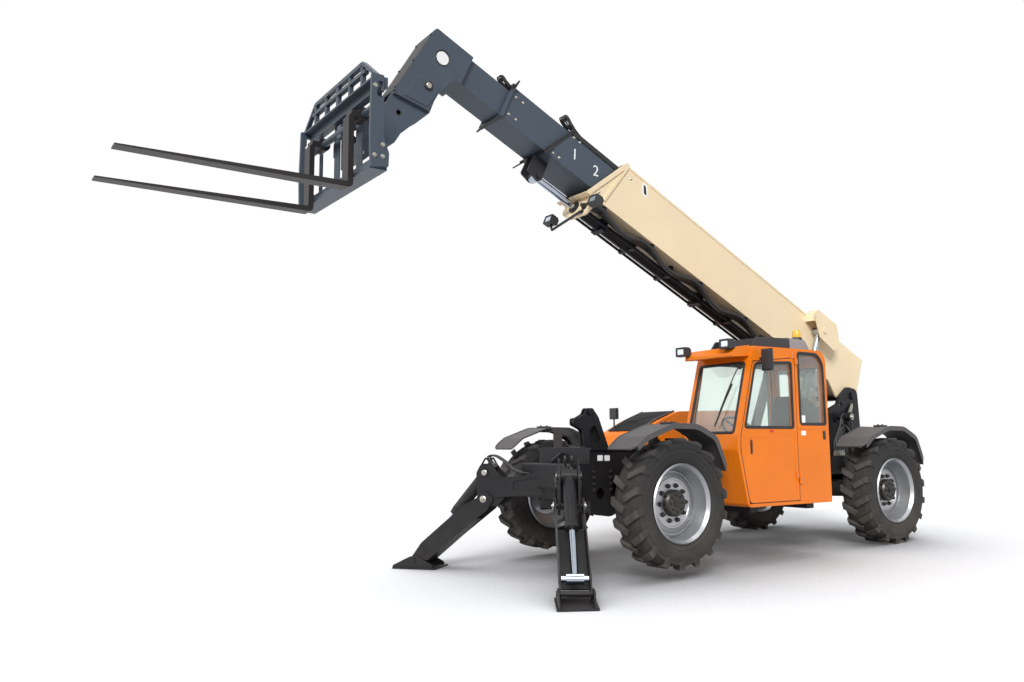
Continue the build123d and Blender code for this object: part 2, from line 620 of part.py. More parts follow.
def make_ears(name, corners):
    """Pointed tabs in a collar's plane: (y side, z side, out, up, along the side)."""
    size = SECTIONS[name]
    half = size["half"]
    low, high = size["z"]
    ears = []
    for y_side, z_side, out, up, along in corners:
        z = high if z_side > 0 else low
        y = y_side * half
        points = [(y - y_side * 70, z), (y + y_side * out, z + z_side * up),
                  (y, z - z_side * along), (y, z)]
        face = make_face(Polyline(*[(front_at(name, b) - COLLAR[name][0], a, b)
                                    for a, b in points], close=True))
        ears.append(extrude(face, 16, dir=(1, 0, 0)))
    return ears


def make_guides(name, ahead, height, y):
    """Hose roller on two arms that reach ahead of a section's collar, over the next tube."""
    front, top = SECTIONS[name]["x"][1], SECTIONS[name]["z"][1]
    proud = COLLAR[name][1]
    z = top + height
    arms = []
    for place in y:
        arms.append(side_plate([(front - 30, top), (front, top), (front + ahead + 24, z - 20),
                                (front + ahead + 24, z + 20), (front - 10, top + proud + 22),
                                (front - 30, top + proud)], (place - 5, place + 5),
                               [0, 0, 18, 18, 15, 0]))
    return fuse(*arms, cross_pin(front + ahead, z, y, 22))


def make_front_bracket():
    """Cream plate hung under the main section's front end round the cylinder's gland."""
    half = SECTIONS["boom_main"]["half"]
    x0, x1 = BRACKET_X
    outline = [(-150, 1), (half, 1), (half + 85, -60), (half + 85, -140), (half + 5, -235),
               (-20, -240), (-120, -160)]
    face = make_face(FilletPolyline(*[(0, y, z) for y, z in outline],
                                    radius=[0, 20, 30, 30, 40, 40, 30], close=True))
    plate = Pos(x0, 0, 0) * extrude(face, x1 - x0, dir=(1, 0, 0))
    plate = plate + bar((x0, LOBE[0], LOBE[1]), (x1, LOBE[0], LOBE[1]), LOBE[2])
    gland = bar((x0 - 1, 0, EXTEND_Z), (x1 + 1, 0, EXTEND_Z), EXTEND_SKIN + 8)
    port = bar((x0 - 1, 185, -130), (x1 + 1, 185, -130), 46)
    gusset = side_plate([(x0 - 130, 1), (x0 + 1, 1), (x0 + 1, -170)], (130, 142), 0)
    return fuse(plate - gland - port, gusset, mirrored(gusset))


LOBE = (-117, -83, 92)       # round lobe of the bracket: y, z and radius
# work lamps: (x, y, z) of the lamp's middle on the boom
BOOM_LAMPS = [(4885, 402, -140), (4940, -240, -262)]
LAMP_SIZE = (105, 130, 100)


def make_lamp(middle, size):
    """A lamp's housing with a sunk face towards +X, about its middle."""
    long, wide, tall = size
    edge = 18
    body = side_plate([(-long / 2, -tall / 4), (-long / 4, -tall / 2), (long / 2, -tall / 2),
                       (long / 2, tall / 2), (-long / 4, tall / 2), (-long / 2, tall / 4)],
                      (-wide / 2, wide / 2), [8, 8, 4, 4, 8, 8])
    face = block((long / 2 - 12, long / 2 + 1), (-wide / 2 + edge, wide / 2 - edge),
                 (-tall / 2 + edge, tall / 2 - edge))
    return Pos(*middle) * (body - face)


def make_boom_lamps():
    """Two work lamps beside and below the front bracket, the far one on a long arm."""
    x1 = BRACKET_X[1]
    near, far = BOOM_LAMPS
    tall = LAMP_SIZE[2]
    foot = (x1 + 22, 190, -205)
    elbow = (far[0] - 10, far[1] + 70, far[2] - 125)
    root = near[1] - 105
    near_arm = bar((x1, root, near[2]), (x1 + 20, root, near[2]), 19)
    near_arm = near_arm + bar((x1 + 18, root, near[2]), (x1 + 18, near[1] - 50, near[2]), 14)
    far_arm = bar((x1, foot[1], foot[2]), foot, 20)
    beam = bar(foot, elbow, 15)
    post = bar(elbow, (far[0] - 10, far[1], far[2] - tall / 2 + 5), 14)
    first = make_lamp(near, LAMP_SIZE) + near_arm
    second = fuse(make_lamp(far, LAMP_SIZE), far_arm, beam, post)
    return Compound(children=[*solids_of(first), *solids_of(second)])


# ---------------------------------------------------------------- boom head
HEAD_HALF = 185
NECK_HALF = 148
HEAD_PLATE = 20
TILT_X = 7200                # pivot of the fork carriage, along the boom
TILT_Z = -935
TILT_PIN_RADIUS = 32
RAM_FOOT = (6968, -130)      # foot pin of the tilt cylinder in the head
DISC_AT = (6956, 233)        # round recess in the head's cheeks
DISC_RADIUS = 84


def make_head():
    """Goose-neck at the fly section's tip: wide cheeks above, narrow cheeks below."""
    cheek_line = [(6680, 470), (7143, 455), (7235, -400), (6857, -330), (6840, -100),
                  (6757, 128), (6680, 140)]
    cheek = side_plate(cheek_line, (HEAD_HALF - HEAD_PLATE, HEAD_HALF), [0, 20, 30, 30, 30, 30, 0])
    x, z = RAM_FOOT
    disc = cross_pin(*DISC_AT, (HEAD_HALF - 7, HEAD_HALF + 1), DISC_RADIUS)
    doubler = side_plate([(x - 110, z + 5), (x - 75, z + 105), (x + 15, z + 135), (x + 105, z + 90),
                          (x + 135, z - 5), (x + 165, z - 235), (x - 75, z - 190)],
                         (HEAD_HALF - 1, HEAD_HALF + 8), [60, 60, 60, 60, 60, 10, 10])
    cheek = cheek - disc + doubler
    neck_line = [(6850, 0), (7190, 0), (7235, -400), (TILT_X + 88, TILT_Z + 20),
                 (TILT_X + 60, TILT_Z - 75), (TILT_X - 70, TILT_Z - 65), (7010, -830),
                 (6990, -670), (6910, -530), (6830, -340)]
    neck = side_plate(neck_line, (NECK_HALF - HEAD_PLATE, NECK_HALF),
                      [0, 0, 60, 60, 60, 60, 40, 40, 40, 40])
    cheeks = cheek + mirrored(cheek) + neck + mirrored(neck)
    face = side_plate([(7125, 455), (7143, 455), (7233, -382), (7215, -382)],
                      (-HEAD_HALF, HEAD_HALF), 0)
    roof = block((6680, 7130), (-HEAD_HALF, HEAD_HALF), (458, 470))
    floor = block((6680, 6760), (-HEAD_HALF, HEAD_HALF), (128, 150))
    shelf = side_plate([(6845, -345), (6857, -330), (7230, -400), (7228, -415)],
                       (NECK_HALF - 1, HEAD_HALF), 0)
    back = side_plate([(6880, -380), (6990, -670), (7010, -830), (7025, -825), (7005, -665),
                       (6895, -375)], (-NECK_HALF, NECK_HALF), 0)
    shelf = shelf + mirrored(shelf)
    boss = cross_pin(x, z, (62, HEAD_HALF + 16), 46)
    pin = cross_pin(x, z, (-HEAD_HALF, HEAD_HALF), EYE_PIN_RADIUS)
    bore = cross_pin(TILT_X, TILT_Z, (-HEAD_HALF, HEAD_HALF), TILT_PIN_RADIUS + FIT)
    head = fuse(cheeks, face, roof, floor, shelf, back, boss, mirrored(boss), pin)
    return head - bore


# ---------------------------------------------------------------- fork carriage
def boom_place():
    """Where the boom's own frame sits on the chassis."""
    return Location((PIVOT_X, 0, PIVOT_Z), (0, -BOOM_ANGLE, 0))


def on_chassis(x, z):
    """A boom point in the chassis' own x and z."""
    turn = radians(BOOM_ANGLE)
    return (PIVOT_X + x * cos(turn) - z * sin(turn), PIVOT_Z + x * sin(turn) + z * cos(turn))


TILT = on_chassis(TILT_X, TILT_Z)
TILT_EYE = (TILT[0] + 30, TILT[1] + 220)
RAM_CHEEK = (60, 78)         # y of the cheeks beside the tilt rod's eye
CARRIAGE_HALF = 825
FORK_Y = 450
FORK_WIDTH = 125
FORK_TIP = 8610
SHAFT_RADIUS = 32
# places ahead of and above the tilt pivot
SHAFT_AT = (250, 65)
PLATE_X = (170, 330)
PLATE_Z = (-500, 305)
TOP_BAR_Z = 500
BRACE_LINE = [(40, 216), (180, 216), (330, 60), (330, -80), (250, -80), (250, 40)]


def make_coupler():
    """Cradle that turns on the head's foot and holds the fork carriage."""
    x, z = TILT
    inner = NECK_HALF + GAP
    ear = side_plate([(x - 75, z - 60), (x + 110, z - 230), (x + 170, z - 230), (x + 170, z + 305),
                      (x + 125, z + 305), (x + 60, z + 120), (x - 60, z + 75)],
                     (inner, inner + 25), [60, 20, 0, 0, 20, 60, 60])
    back = block((x + 115, x + 170), (-inner, inner), (z - 230, z - 60))
    head = block((x + 148, x + 170), (RAM_CHEEK[0] - 1, inner + 1), (z + 225, z + 305))
    ram_ear = side_plate([(x + 169, z + 90), (x + 169, z + 305), (x + 60, z + 290), (x - 15, z + 262),
                          (x - 25, z + 190), (x + 60, z + 150)], RAM_CHEEK, [0, 0, 30, 40, 30, 30])
    cap = cross_pin(*TILT_EYE, (RAM_CHEEK[1] - 1, RAM_CHEEK[1] + 12), 42)
    sides = fuse(ear, head, ram_ear, cap)
    pin = cross_pin(x, z, (-inner - 40, inner + 40), TILT_PIN_RADIUS)
    ring = cross_pin(x, z, (inner + 24, inner + 34), 62)
    return fuse(sides, mirrored(sides), back, pin, ring, mirrored(ring))


def make_carriage():
    """Welded fork carriage: end plates, bars, fork shaft and load backrest."""
    x, z = TILT
    plate_line = [(x + PLATE_X[0] + 50, z + PLATE_Z[1]), (x + PLATE_X[1], z + PLATE_Z[1]),
                  (x + PLATE_X[1] + 10, z - 200), (x + PLATE_X[1], z + PLATE_Z[0]),
                  (x + PLATE_X[0], z + PLATE_Z[0] + 20), (x + PLATE_X[0] - 5, z - 360),
                  (x + PLATE_X[0] + 45, z - 240)]
    plate = side_plate(plate_line, (CARRIAGE_HALF - 30, CARRIAGE_HALF), [10, 10, 0, 10, 10, 40, 40])
    # keyhole over the shaft: a wide round foot and a narrow slot above it
    key_x, key_z = x + SHAFT_AT[0], z + SHAFT_AT[1] + SHAFT_RADIUS + 46
    inside = CARRIAGE_HALF - 30
    slot = block((key_x - 22, key_x + 22), (inside - 1, CARRIAGE_HALF + 1), (key_z, key_z + 105))
    foot = cross_pin(key_x, key_z, (inside - 1, CARRIAGE_HALF + 1), 36)
    plate = plate - slot - foot
    carriage = plate + mirrored(plate)
    # bars across: (x low, x high, z low, z high, half length), from the tilt pivot
    bars = [(170, 240, 215, 305, inside), (170, 330, -505, -470, inside),
            (170, 200, -470, -330, inside), (255, 300, 395, 425, 600),
            (255, 300, TOP_BAR_Z - 20, TOP_BAR_Z + 15, 530)]
    for x0, x1, z0, z1, half in bars:
        carriage = carriage + block((x + x0, x + x1), (-half, half), (z + z0, z + z1))
    # uprights: (y middle, half width, z low, z high)
    uprights = [(0, 60, -470, 215), (250, 60, -470, 215), (650, 35, -470, 215),
                (0, 22, 300, 500), (270, 18, 300, 500), (530, 20, 300, 500)]
    for y, half, z0, z1 in uprights:
        for place in {y, -y}:
            x0 = 170 if z1 < 300 else 258
            x1 = 182 if z1 < 300 else 296
            carriage = carriage + block((x + x0, x + x1), (place - half, place + half),
                                        (z + z0, z + z1))
    # slanting braces between the top bar and the shaft: outline in (y, z)
    brace = make_face(FilletPolyline(*[(0, y, b) for y, b in BRACE_LINE], radius=20, close=True))
    brace = Pos(x + 171, 0, z) * extrude(brace, 13, dir=(1, 0, 0))
    ledge = block((x + 200, x + 300), (-inside, inside), (z + 290, z + 305))
    slope = Plane.YZ * extrude(make_face(Polyline((inside, 290), (inside + 30, 305), (550, 515),
                                                  (520, 500), close=True)), 40)
    slope = Pos(x + 257, 0, z) * slope
    shaft = cross_pin(x + SHAFT_AT[0], z + SHAFT_AT[1], (-inside - 20, inside + 20), SHAFT_RADIUS)
    support = block((x + 170, x + SHAFT_AT[0] + 20), (-40, 40),
                    (z + SHAFT_AT[1] - 60, z + SHAFT_AT[1] + 60))
    return fuse(carriage, brace, mirrored(brace), ledge, slope, mirrored(slope), shaft, support)


def make_fork():
    """Left fork: an eye on the shaft, an upright shank and a tapering blade."""
    x, z = TILT
    sx, sz = x + SHAFT_AT[0], z + SHAFT_AT[1]
    face = x + 395
    heel = z - 605
    shank = side_plate([(face - 50, sz + 20), (face, sz - 40), (face, heel + 50),
                        (FORK_TIP, heel + 16), (FORK_TIP, heel + 4), (face + 500, heel),
                        (face - 50, heel)], (FORK_Y - FORK_WIDTH / 2, FORK_Y + FORK_WIDTH / 2),
                       [15, 0, 20, 0, 0, 0, 45])
    eye = cross_pin(sx, sz, (FORK_Y - FORK_WIDTH / 2, FORK_Y + FORK_WIDTH / 2), 60)
    neck = block((sx, face - 25), (FORK_Y - FORK_WIDTH / 2, FORK_Y + FORK_WIDTH / 2),
                 (sz - 40, sz + 20))
    bore = cross_pin(sx, sz, (0, CARRIAGE_HALF), SHAFT_RADIUS + FIT)
    return fuse(shank, eye, neck) - bore


# ---------------------------------------------------------------- cab
CAB_LINE = [(1270, 545), (2665, 545), (2800, 1130), (2790, 1280), (2560, 2060), (2500, 2215),
            (1270, 2230)]
CAB_BENDS = [20, 60, 60, 40, 30, 40, 150]
DOOR_REAR = 1830
DOOR_AXIS = (1822, 1184)     # (x, y) of the door's hinges
DOOR_LINE = [(DOOR_REAR, 585), (2640, 585), (2752, 1130), (2742, 1275), (2520, 2050),
             (DOOR_REAR, 2120)]
DOOR_BENDS = [30, 50, 60, 40, 60, 30]
WINDOW_Z = 1360
GLASS = 6


def moved_in(points, distance):
    """The outline with each side moved inwards by a distance."""
    face = make_face(Polyline(*points, close=True))
    return offset(face, -distance, kind=Kind.INTERSECTION)


def plate_of(face, y):
    plate = extrude(face, y[1] - y[0], dir=(0, 0, 1))
    return Plane(origin=(0, y[1], 0), x_dir=(1, 0, 0), z_dir=(0, -1, 0)) * plate


def cab_solid():
    return side_plate(CAB_LINE, CAB_Y, CAB_BENDS)


def windscreen_way(depth):
    """Outline of a band along the windscreen, this deep behind it."""
    return [(2790, 1290), (2565, 2050), (2565 - depth, 2050 - 10), (2790 - depth, 1290 - 10)]


DOOR_WINDOW = [(1890, WINDOW_Z), (2675, WINDOW_Z), (2480, 2035), (1890, 2065)]
DOOR_WINDOW_BENDS = [30, 30, 60, 30]
REAR_SIDE_WINDOW = [(1320, 1400), (1765, 1400), (1765, 2180), (1420, 2180), (1330, 2080)]
REAR_SIDE_BENDS = [30, 30, 30, 60, 60]
RIGHT_WINDOW = [(1370, 1250), (2690, 1250), (2490, 2080), (1370, 2080)]
REAR_WINDOW_Z = (1350, 2050)
ROOF_WINDOW_X = (1850, 2440)
CAB_IN = (CAB_Y[0] + CAB_WALL, CAB_Y[1] - CAB_WALL)


def make_cab_shell():
    """Hollow cab with its door opening, window openings, visor and hinge knuckles."""
    shell = cab_solid()
    room = plate_of(moved_in(CAB_LINE, CAB_WALL), CAB_IN)
    shell = shell - room
    doorway = plate_of(offset(make_face(Polyline(*DOOR_LINE, close=True)), GAP,
                              kind=Kind.INTERSECTION), (CAB_IN[1] - 1, CAB_Y[1] + 1))
    left = side_plate(REAR_SIDE_WINDOW, (CAB_IN[1] - 1, CAB_Y[1] + 1), REAR_SIDE_BENDS)
    right = side_plate(RIGHT_WINDOW, (CAB_Y[0] - 1, CAB_IN[0] + 1), 60)
    front = side_plate([(2900, 1300), (2900, 2040), (2500, 2040), (2600, 1300)],
                       (CAB_IN[0] + 15, CAB_IN[1] - 15), 0)
    rear = block((1200, 1270 + CAB_WALL + 1), (CAB_IN[0] + 40, CAB_IN[1] - 40), REAR_WINDOW_Z)
    roof = block(ROOF_WINDOW_X, (CAB_IN[0] + 30, CAB_IN[1] - 30), (2150, 2300))
    shell = shell - doorway - left - right - front - rear - roof
    return fuse(shell, make_visor(), *make_hinges(HINGE_LOW), *make_cab_trim())


HINGE_RADIUS = 13
HINGE_LONG = 60
HINGE_HEIGHTS = (760, 2050)
HINGE_LOW = 0                # the lower knuckle of a hinge belongs to the cab
HINGE_HIGH = 1               # the upper one to the door


def make_hinges(part):
    """Knuckles of the door's hinges with their leaves, for the cab or for the door."""
    x, y = DOOR_AXIS
    made = []
    for height in HINGE_HEIGHTS:
        low = height + part * (HINGE_LONG + 1)
        knuckle = bar((x, y, low), (x, y, low + HINGE_LONG), HINGE_RADIUS)
        reach = (x - 46, x) if part == HINGE_LOW else (x, x + 60)
        leaf = block(reach, (CAB_Y[1], CAB_Y[1] + 7), (low, low + HINGE_LONG))
        made.append(knuckle + leaf)
    return made


def make_cab_trim():
    """Raised sill under the rear side window and the step plate under the door."""
    sill = block((1285, 1800), (CAB_Y[1] - 1, CAB_Y[1] + 5), (1345, 1362))
    low = CAB_LINE[0][1]
    step = block((1290, 2640), (CAB_Y[1] - 1, CAB_Y[1] + 8), (low + 2, low + 30))
    return [sill, step]


def make_cab_glass():
    """Panes of the cab: windscreen, right, rear, rear side and roof, set in the walls."""
    y0, y1 = CAB_IN
    middle = CAB_WALL / 2
    front = side_plate([(2757, 1302), (2757 + GLASS, 1302), (2545 + GLASS, 2038), (2545, 2038)],
                       (y0 + 17, y1 - 17), 0)
    left = side_plate(REAR_SIDE_WINDOW, (CAB_Y[1] - middle, CAB_Y[1] - middle + GLASS),
                      REAR_SIDE_BENDS)
    right = side_plate(RIGHT_WINDOW, (CAB_Y[0] + middle, CAB_Y[0] + middle + GLASS), 60)
    rear = block((1270 + middle, 1270 + middle + GLASS), (y0 + 40, y1 - 40), REAR_WINDOW_Z)
    roof = block(ROOF_WINDOW_X, (y0 + 30, y1 - 30), (2190, 2190 + GLASS))
    return Compound(children=[s for pane in (front, left, right, rear, roof)
                              for s in solids_of(pane)])


def make_door():
    """Cab door: full height panel and frame, as thick as the cab's wall."""
    y = (CAB_IN[1], CAB_Y[1])
    door = side_plate(DOOR_LINE, y, DOOR_BENDS)
    window = side_plate(DOOR_WINDOW, (y[0] - 1, y[1] + 1), DOOR_WINDOW_BENDS)
    panel = side_plate([(1880, 640), (2600, 640), (2696, 1120), (2690, 1240), (1880, 1290)],
                       (y[1] - 4, y[1] + 1), [20, 40, 40, 30, 20])
    pocket = block((2560, 2600), (y[1] - 22, y[1] + 1), (1090, 1225))
    handle = bar((2580, y[1] - 10, 1080), (2580, y[1] - 10, 1235), 8)
    return fuse(door - window - panel - pocket, handle, *make_hinges(HINGE_HIGH))


def make_door_glass():
    y = (CAB_Y[1] - CAB_WALL / 2, CAB_Y[1] - CAB_WALL / 2 + GLASS)
    return side_plate(DOOR_WINDOW, y, DOOR_WINDOW_BENDS)


def make_seat():
    """Operator's seat on its pedestal."""
    cushion = side_plate([(1500, 1010), (2000, 1030), (2010, 1110), (1500, 1120)], (560, 1040),
                         [40, 40, 35, 0])
    back = side_plate([(1500, 1100), (1640, 1100), (1500, 1760), (1400, 1740)], (580, 1020),
                      [0, 0, 40, 40])
    base = block((1560, 1900), (640, 960), (CAB_LINE[0][1] + CAB_WALL, 1020))
    return fuse(cushion, base, back)


def make_console():
    """Dash column with its steering wheel."""
    floor = CAB_LINE[0][1] + CAB_WALL
    column = side_plate([(2360, floor), (2600, floor), (2700, 1200), (2560, 1260), (2450, 1200)],
                        (650, 950), [10, 10, 60, 60, 60])
    stem = bar((2480, 800, 1200), (2350, 800, 1330), 25)
    hub = bar((2352, 800, 1328), (2335, 800, 1345), 60)
    tilt = Plane(origin=(2340, 800, 1340), z_dir=(-1, 0, 1))
    ring = tilt * Torus(185, 14)
    spokes = [tilt * Rot(0, 0, a) * Pos(92, 0, 0) * Box(186, 24, 12) for a in (90, 210, 330)]
    return fuse(column, stem, hub, ring, *spokes)


def make_visor():
    """Visor over the windscreen, grown onto the cab's roof."""
    visor = side_plate([(2500, 2110), (2815, 2085), (2815, 2125), (2740, 2190), (2540, 2222),
                        (2520, 2180)], (CAB_Y[0] + 70, CAB_Y[1] - 20), [0, 10, 20, 30, 0, 0])
    room = plate_of(moved_in(CAB_LINE, CAB_WALL), CAB_IN)
    return visor - room


# roof lamps: (x, y, z) of the lamp's middle
CAB_LAMPS = [(2800, 1085, 2221), (2845, 505, 2184)]


def make_cab_lamps():
    """Two work lamps at the roof's front corners, each on a short post."""
    lamps = []
    for x, y, z in CAB_LAMPS:
        lamp = make_lamp((x, y, z), LAMP_SIZE)
        post = bar((x - 45, y, z - 60), (x - 45, y, z), 12)
        post = post - make_visor()
        lamps += solids_of(lamp + post)
    return Compound(children=lamps)


def make_roof_guard():
    """Dark slatted box over the roof window."""
    rails = [side_plate([(1790, 2232), (2420, 2225), (2330, 2330), (1790, 2345)], (y, y + 22),
                        [0, 0, 30, 20]) for y in (500, 1070)]
    slats = [block((x, x + 16), (521, 1071), (2238, 2322)) for x in range(1800, 2320, 56)]
    return fuse(rails[0], rails[1], *slats)


def make_air_box():
    """Air box on the cab's roof behind the guard, with sloping ends."""
    return side_plate([(1300, 2232), (1780, 2232), (1740, 2372), (1390, 2360)], (470, 1000),
                      [10, 10, 30, 30])


# ---------------------------------------------------------------- engine pod
HOOD_LINE = [(850, 600), (2660, 600), (2705, 1170), (2630, 1320), (2310, 1470), (1980, 1590),
             (850, 1620)]
HOOD_BENDS = [20, 40, 100, 120, 150, 200, 80]
HOOD_WALL = 20
LOUVRES = 7
LOUVRE_GAP = 18
SIDE_SLOTS = 4
TRAY_TOP = 600


def make_hood_solid():
    return side_plate(HOOD_LINE, HOOD_Y, HOOD_BENDS)


def make_hood():
    """Engine hood on the right side, open below, with the louvred top front."""
    hood = make_hood_solid()
    wall = HOOD_WALL
    inside = (HOOD_Y[0] + wall, HOOD_Y[1] - wall)
    room = plate_of(moved_in(HOOD_LINE, wall), inside)
    below = block((HOOD_LINE[0][0] + wall, 2640), inside, (500, 700))
    hood = hood - room - below
    # louvres: slots square to the sloping top, from its foot upwards
    (x0, z0), (x1, z1) = HOOD_LINE[3], HOOD_LINE[4]
    slope = hypot(x1 - x0, z1 - z0)
    for k in range(LOUVRES):
        share = 0.2 + 0.62 * k / (LOUVRES - 1)
        x, z = x0 + (x1 - x0) * share, z0 + (z1 - z0) * share
        slot = Location((x, 0, z), (0, degrees(atan2(z0 - z1, x1 - x0)), 0)) * block(
            (-LOUVRE_GAP / 2, LOUVRE_GAP / 2), (HOOD_Y[0] + 90, HOOD_Y[1] - 90), (-30, 40))
        hood = hood - slot
    for row in range(SIDE_SLOTS):
        z = 980 + row * 70
        hood = hood - block((2050, 2450), (HOOD_Y[0] - 1, HOOD_Y[0] + wall + 1), (z, z + 26))
    return hood


def make_engine():
    return block((1100, 2150), (HOOD_Y[0] + 120, HOOD_Y[1] - 80), (TRAY_TOP, 1400))


def make_engine_tray():
    """Floor under the engine that ties the pod to the frame."""
    inside = HOOD_WALL + GAP
    return block((870, 2640), (HOOD_Y[0] + inside, -FRAME_Y + 1), (TRAY_TOP - 25, TRAY_TOP))


def make_cab_mounts():
    """Brackets that carry the cab on the frame's left side plate."""
    under = CAB_LINE[0][1]
    inside = FRAME_Y - FRAME_PLATE
    shelves = [block((x, x + 120), (inside, CAB_Y[1] - 150), (under - 70, under)) for x in (1400, 2350)]
    hangers = [block((x, x + 120), (inside, FRAME_Y), (under - 70, under + 95)) for x in (1400, 2350)]
    return shelves + hangers


REST_Y = (272, 342)          # beside the lowered boom


def make_boom_rest():
    """A-shaped bracket on the frame's nose with a tube on top and a roller ahead."""
    line = [(3807, DECK_TOP), (NOSE_X - 5, DECK_TOP), (4149, 1337), (4262, 1388), (4262, 1450),
            (4200, 1462), (4120, 1500), (4090, 1560), (4010, 1560), (3935, 1470)]
    bends = [0, 0, 30, 20, 20, 30, 30, 30, 30, 60]
    first, last = REST_Y
    near = side_plate(line, (last - 14, last), bends)
    far = side_plate(line, (first, first + 14), bends)
    near = near - side_plate([(3900, DECK_TOP + 50), (4050, DECK_TOP + 50), (4060, 1330),
                              (3985, 1400)], (last - 15, last + 1), 30)
    tube = cross_pin(4053, 1521, (first, last + 22), 30)
    roller = cross_pin(4232, 1420, (first, last + 12), 26)
    foot = block((3807, NOSE_X - 5), (first - 12, last + 12), (DECK_TOP, DECK_TOP + 14))
    return fuse(near, far, tube, roller, foot)


def make_door_mirror():
    """Mirror on a short arm from the door's upper front corner."""
    glass = block((2385, 2410), (1200, 1330), (1950, 2180))
    arm = block((2388, 2407), (CAB_Y[1], 1205), (2070, 2095))
    return glass + arm


def make_hood_mirror():
    """Mirror on a stalk from the front of the hood."""
    glass = block((2510, 2535), (-1090, -950), (1500, 1640))
    stalk = bar((2522, -1020, 1372), (2522, -1020, 1505), 10)
    return glass + stalk - make_hood_solid()


# ---------------------------------------------------------------- assembly
def at_wheel(x, side, shape):
    """A left-hand wheel piece put at its axle, mirrored for the right side."""
    placed = Pos(x, WHEEL_Y, AXLE_Z) * shape
    return placed if side > 0 else mirrored(placed)


def build():
    nodes = {}
    tyre, rim, knuckle, fender, axle = (make_tyre(), make_rim(), make_knuckle(), make_fender(),
                                        make_axle())
    for end, x in (("front", WHEELBASE), ("rear", 0)):
        nodes[f"{end}_axle"] = Pos(x, 0, AXLE_Z) * axle
        for name, side in (("left", 1), ("right", -1)):
            nodes[f"tyre_{end}_{name}"] = at_wheel(x, side, tyre)
            nodes[f"rim_{end}_{name}"] = at_wheel(x, side, rim)
            nodes[f"knuckle_{end}_{name}"] = at_wheel(x, side, knuckle)
            nodes[f"fender_{end}_{name}"] = at_wheel(x, side, fender)
    nodes["main_frame"] = make_frame()
    nodes["rear_tower"] = make_tower()
    nodes["axle_locks"] = make_axle_locks()
    nodes["stabilizer_beam"] = make_stabilizer_beam()
    place = left_leg_place()
    barrel, rod = make_stabilizer_cylinder()
    pad = make_pad()
    for name, turn in (("left", lambda s: s), ("right", mirrored)):
        nodes[f"stabilizer_leg_{name}"] = turn(place * make_leg())
        nodes[f"stabilizer_barrel_{name}"] = turn(place * barrel)
        nodes[f"stabilizer_rod_{name}"] = turn(place * rod)
        nodes[f"stabilizer_pad_{name}"] = turn(pad)
    boom = boom_place()
    nodes["boom_main"] = boom * fuse(make_boom_main(), make_front_bracket())
    nodes["boom_section_2"] = boom * fuse(make_section("boom_section_2"), make_extend_bracket(),
                                          *make_ears("boom_section_2", EARS_2),
                                          make_guides("boom_section_2", 110, 75, (105, 205)))
    nodes["boom_section_3"] = boom * fuse(make_section("boom_section_3"),
                                          *make_ears("boom_section_3", EARS_3),
                                          make_guides("boom_section_3", 90, 52, (45, 110)))
    nodes["boom_lamps"] = boom * make_boom_lamps()
    nodes["boom_fly"] = boom * make_section("boom_fly")
    nodes["boom_head"] = boom * make_head()
    extend_barrel, extend_rod = make_extend()
    nodes["extend_barrel"] = boom * extend_barrel
    nodes["extend_rod"] = boom * extend_rod
    lift_barrel, lift_rod = cylinder_between(LIFT_FOOT, on_chassis(*LIFT_EYE), EYE_PIN_RADIUS, 54,
                                             36, 1290, 1262, (90, 140 - 2 * PIN_PLAY), LIFT_Y)
    nodes["lift_barrels"] = pair(lift_barrel)
    nodes["lift_rods"] = pair(lift_rod)
    nodes["tilt_barrel"], nodes["tilt_rod"] = cylinder_between(
        on_chassis(*RAM_FOOT), TILT_EYE, EYE_PIN_RADIUS, 40, 26, 490, 496, (100, 96))
    nodes["coupler"] = make_coupler()
    nodes["fork_carriage"] = make_carriage()
    fork = make_fork()
    nodes["fork_left"] = fork
    nodes["fork_right"] = mirrored(fork)
    nodes["cab_shell"] = make_cab_shell()
    nodes["cab_glass"] = make_cab_glass()
    nodes["cab_door"] = make_door()
    nodes["door_glass"] = make_door_glass()
    nodes["seat"] = make_seat()
    nodes["steering_console"] = make_console()
    nodes["cab_lamps"] = make_cab_lamps()
    nodes["roof_guard"] = make_roof_guard()
    nodes["air_box"] = make_air_box()
    nodes["engine_hood"] = make_hood()
    nodes["engine_block"] = make_engine()
    nodes["boom_rest"] = make_boom_rest()
    nodes["door_mirror"] = make_door_mirror()
    nodes["hood_mirror"] = make_hood_mirror()
    return nodes


# ---------------------------------------------------------------- stance and origin
if __name__ == "__main__":
    os.makedirs("parts", exist_ok=True)
    standing = {name: stance() * shape for name, shape in build().items()}
    boxes = [shape.bounding_box() for shape in standing.values()]
    low = [min(getattr(b.min, axis) for b in boxes) for axis in "XYZ"]
    high = [max(getattr(b.max, axis) for b in boxes) for axis in "XYZ"]
    origin = Pos(-(low[0] + high[0]) / 2, -(low[1] + high[1]) / 2, -low[2])
    for name, shape in standing.items():
        export_step(origin * shape, f"parts/{name}.step")
    print("origin", [round(-v, 2) for v in origin.position], "low", low, "high", high)
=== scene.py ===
# %% [markdown]
# # A telescopic handler, dressed for its portrait
#
# The machine stands on its stabilizers with the boom raised.  Its shape comes from the
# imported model, and this lesson gives it paint, rubber, chrome and glass, and the small
# pieces that a maker bolts on last.

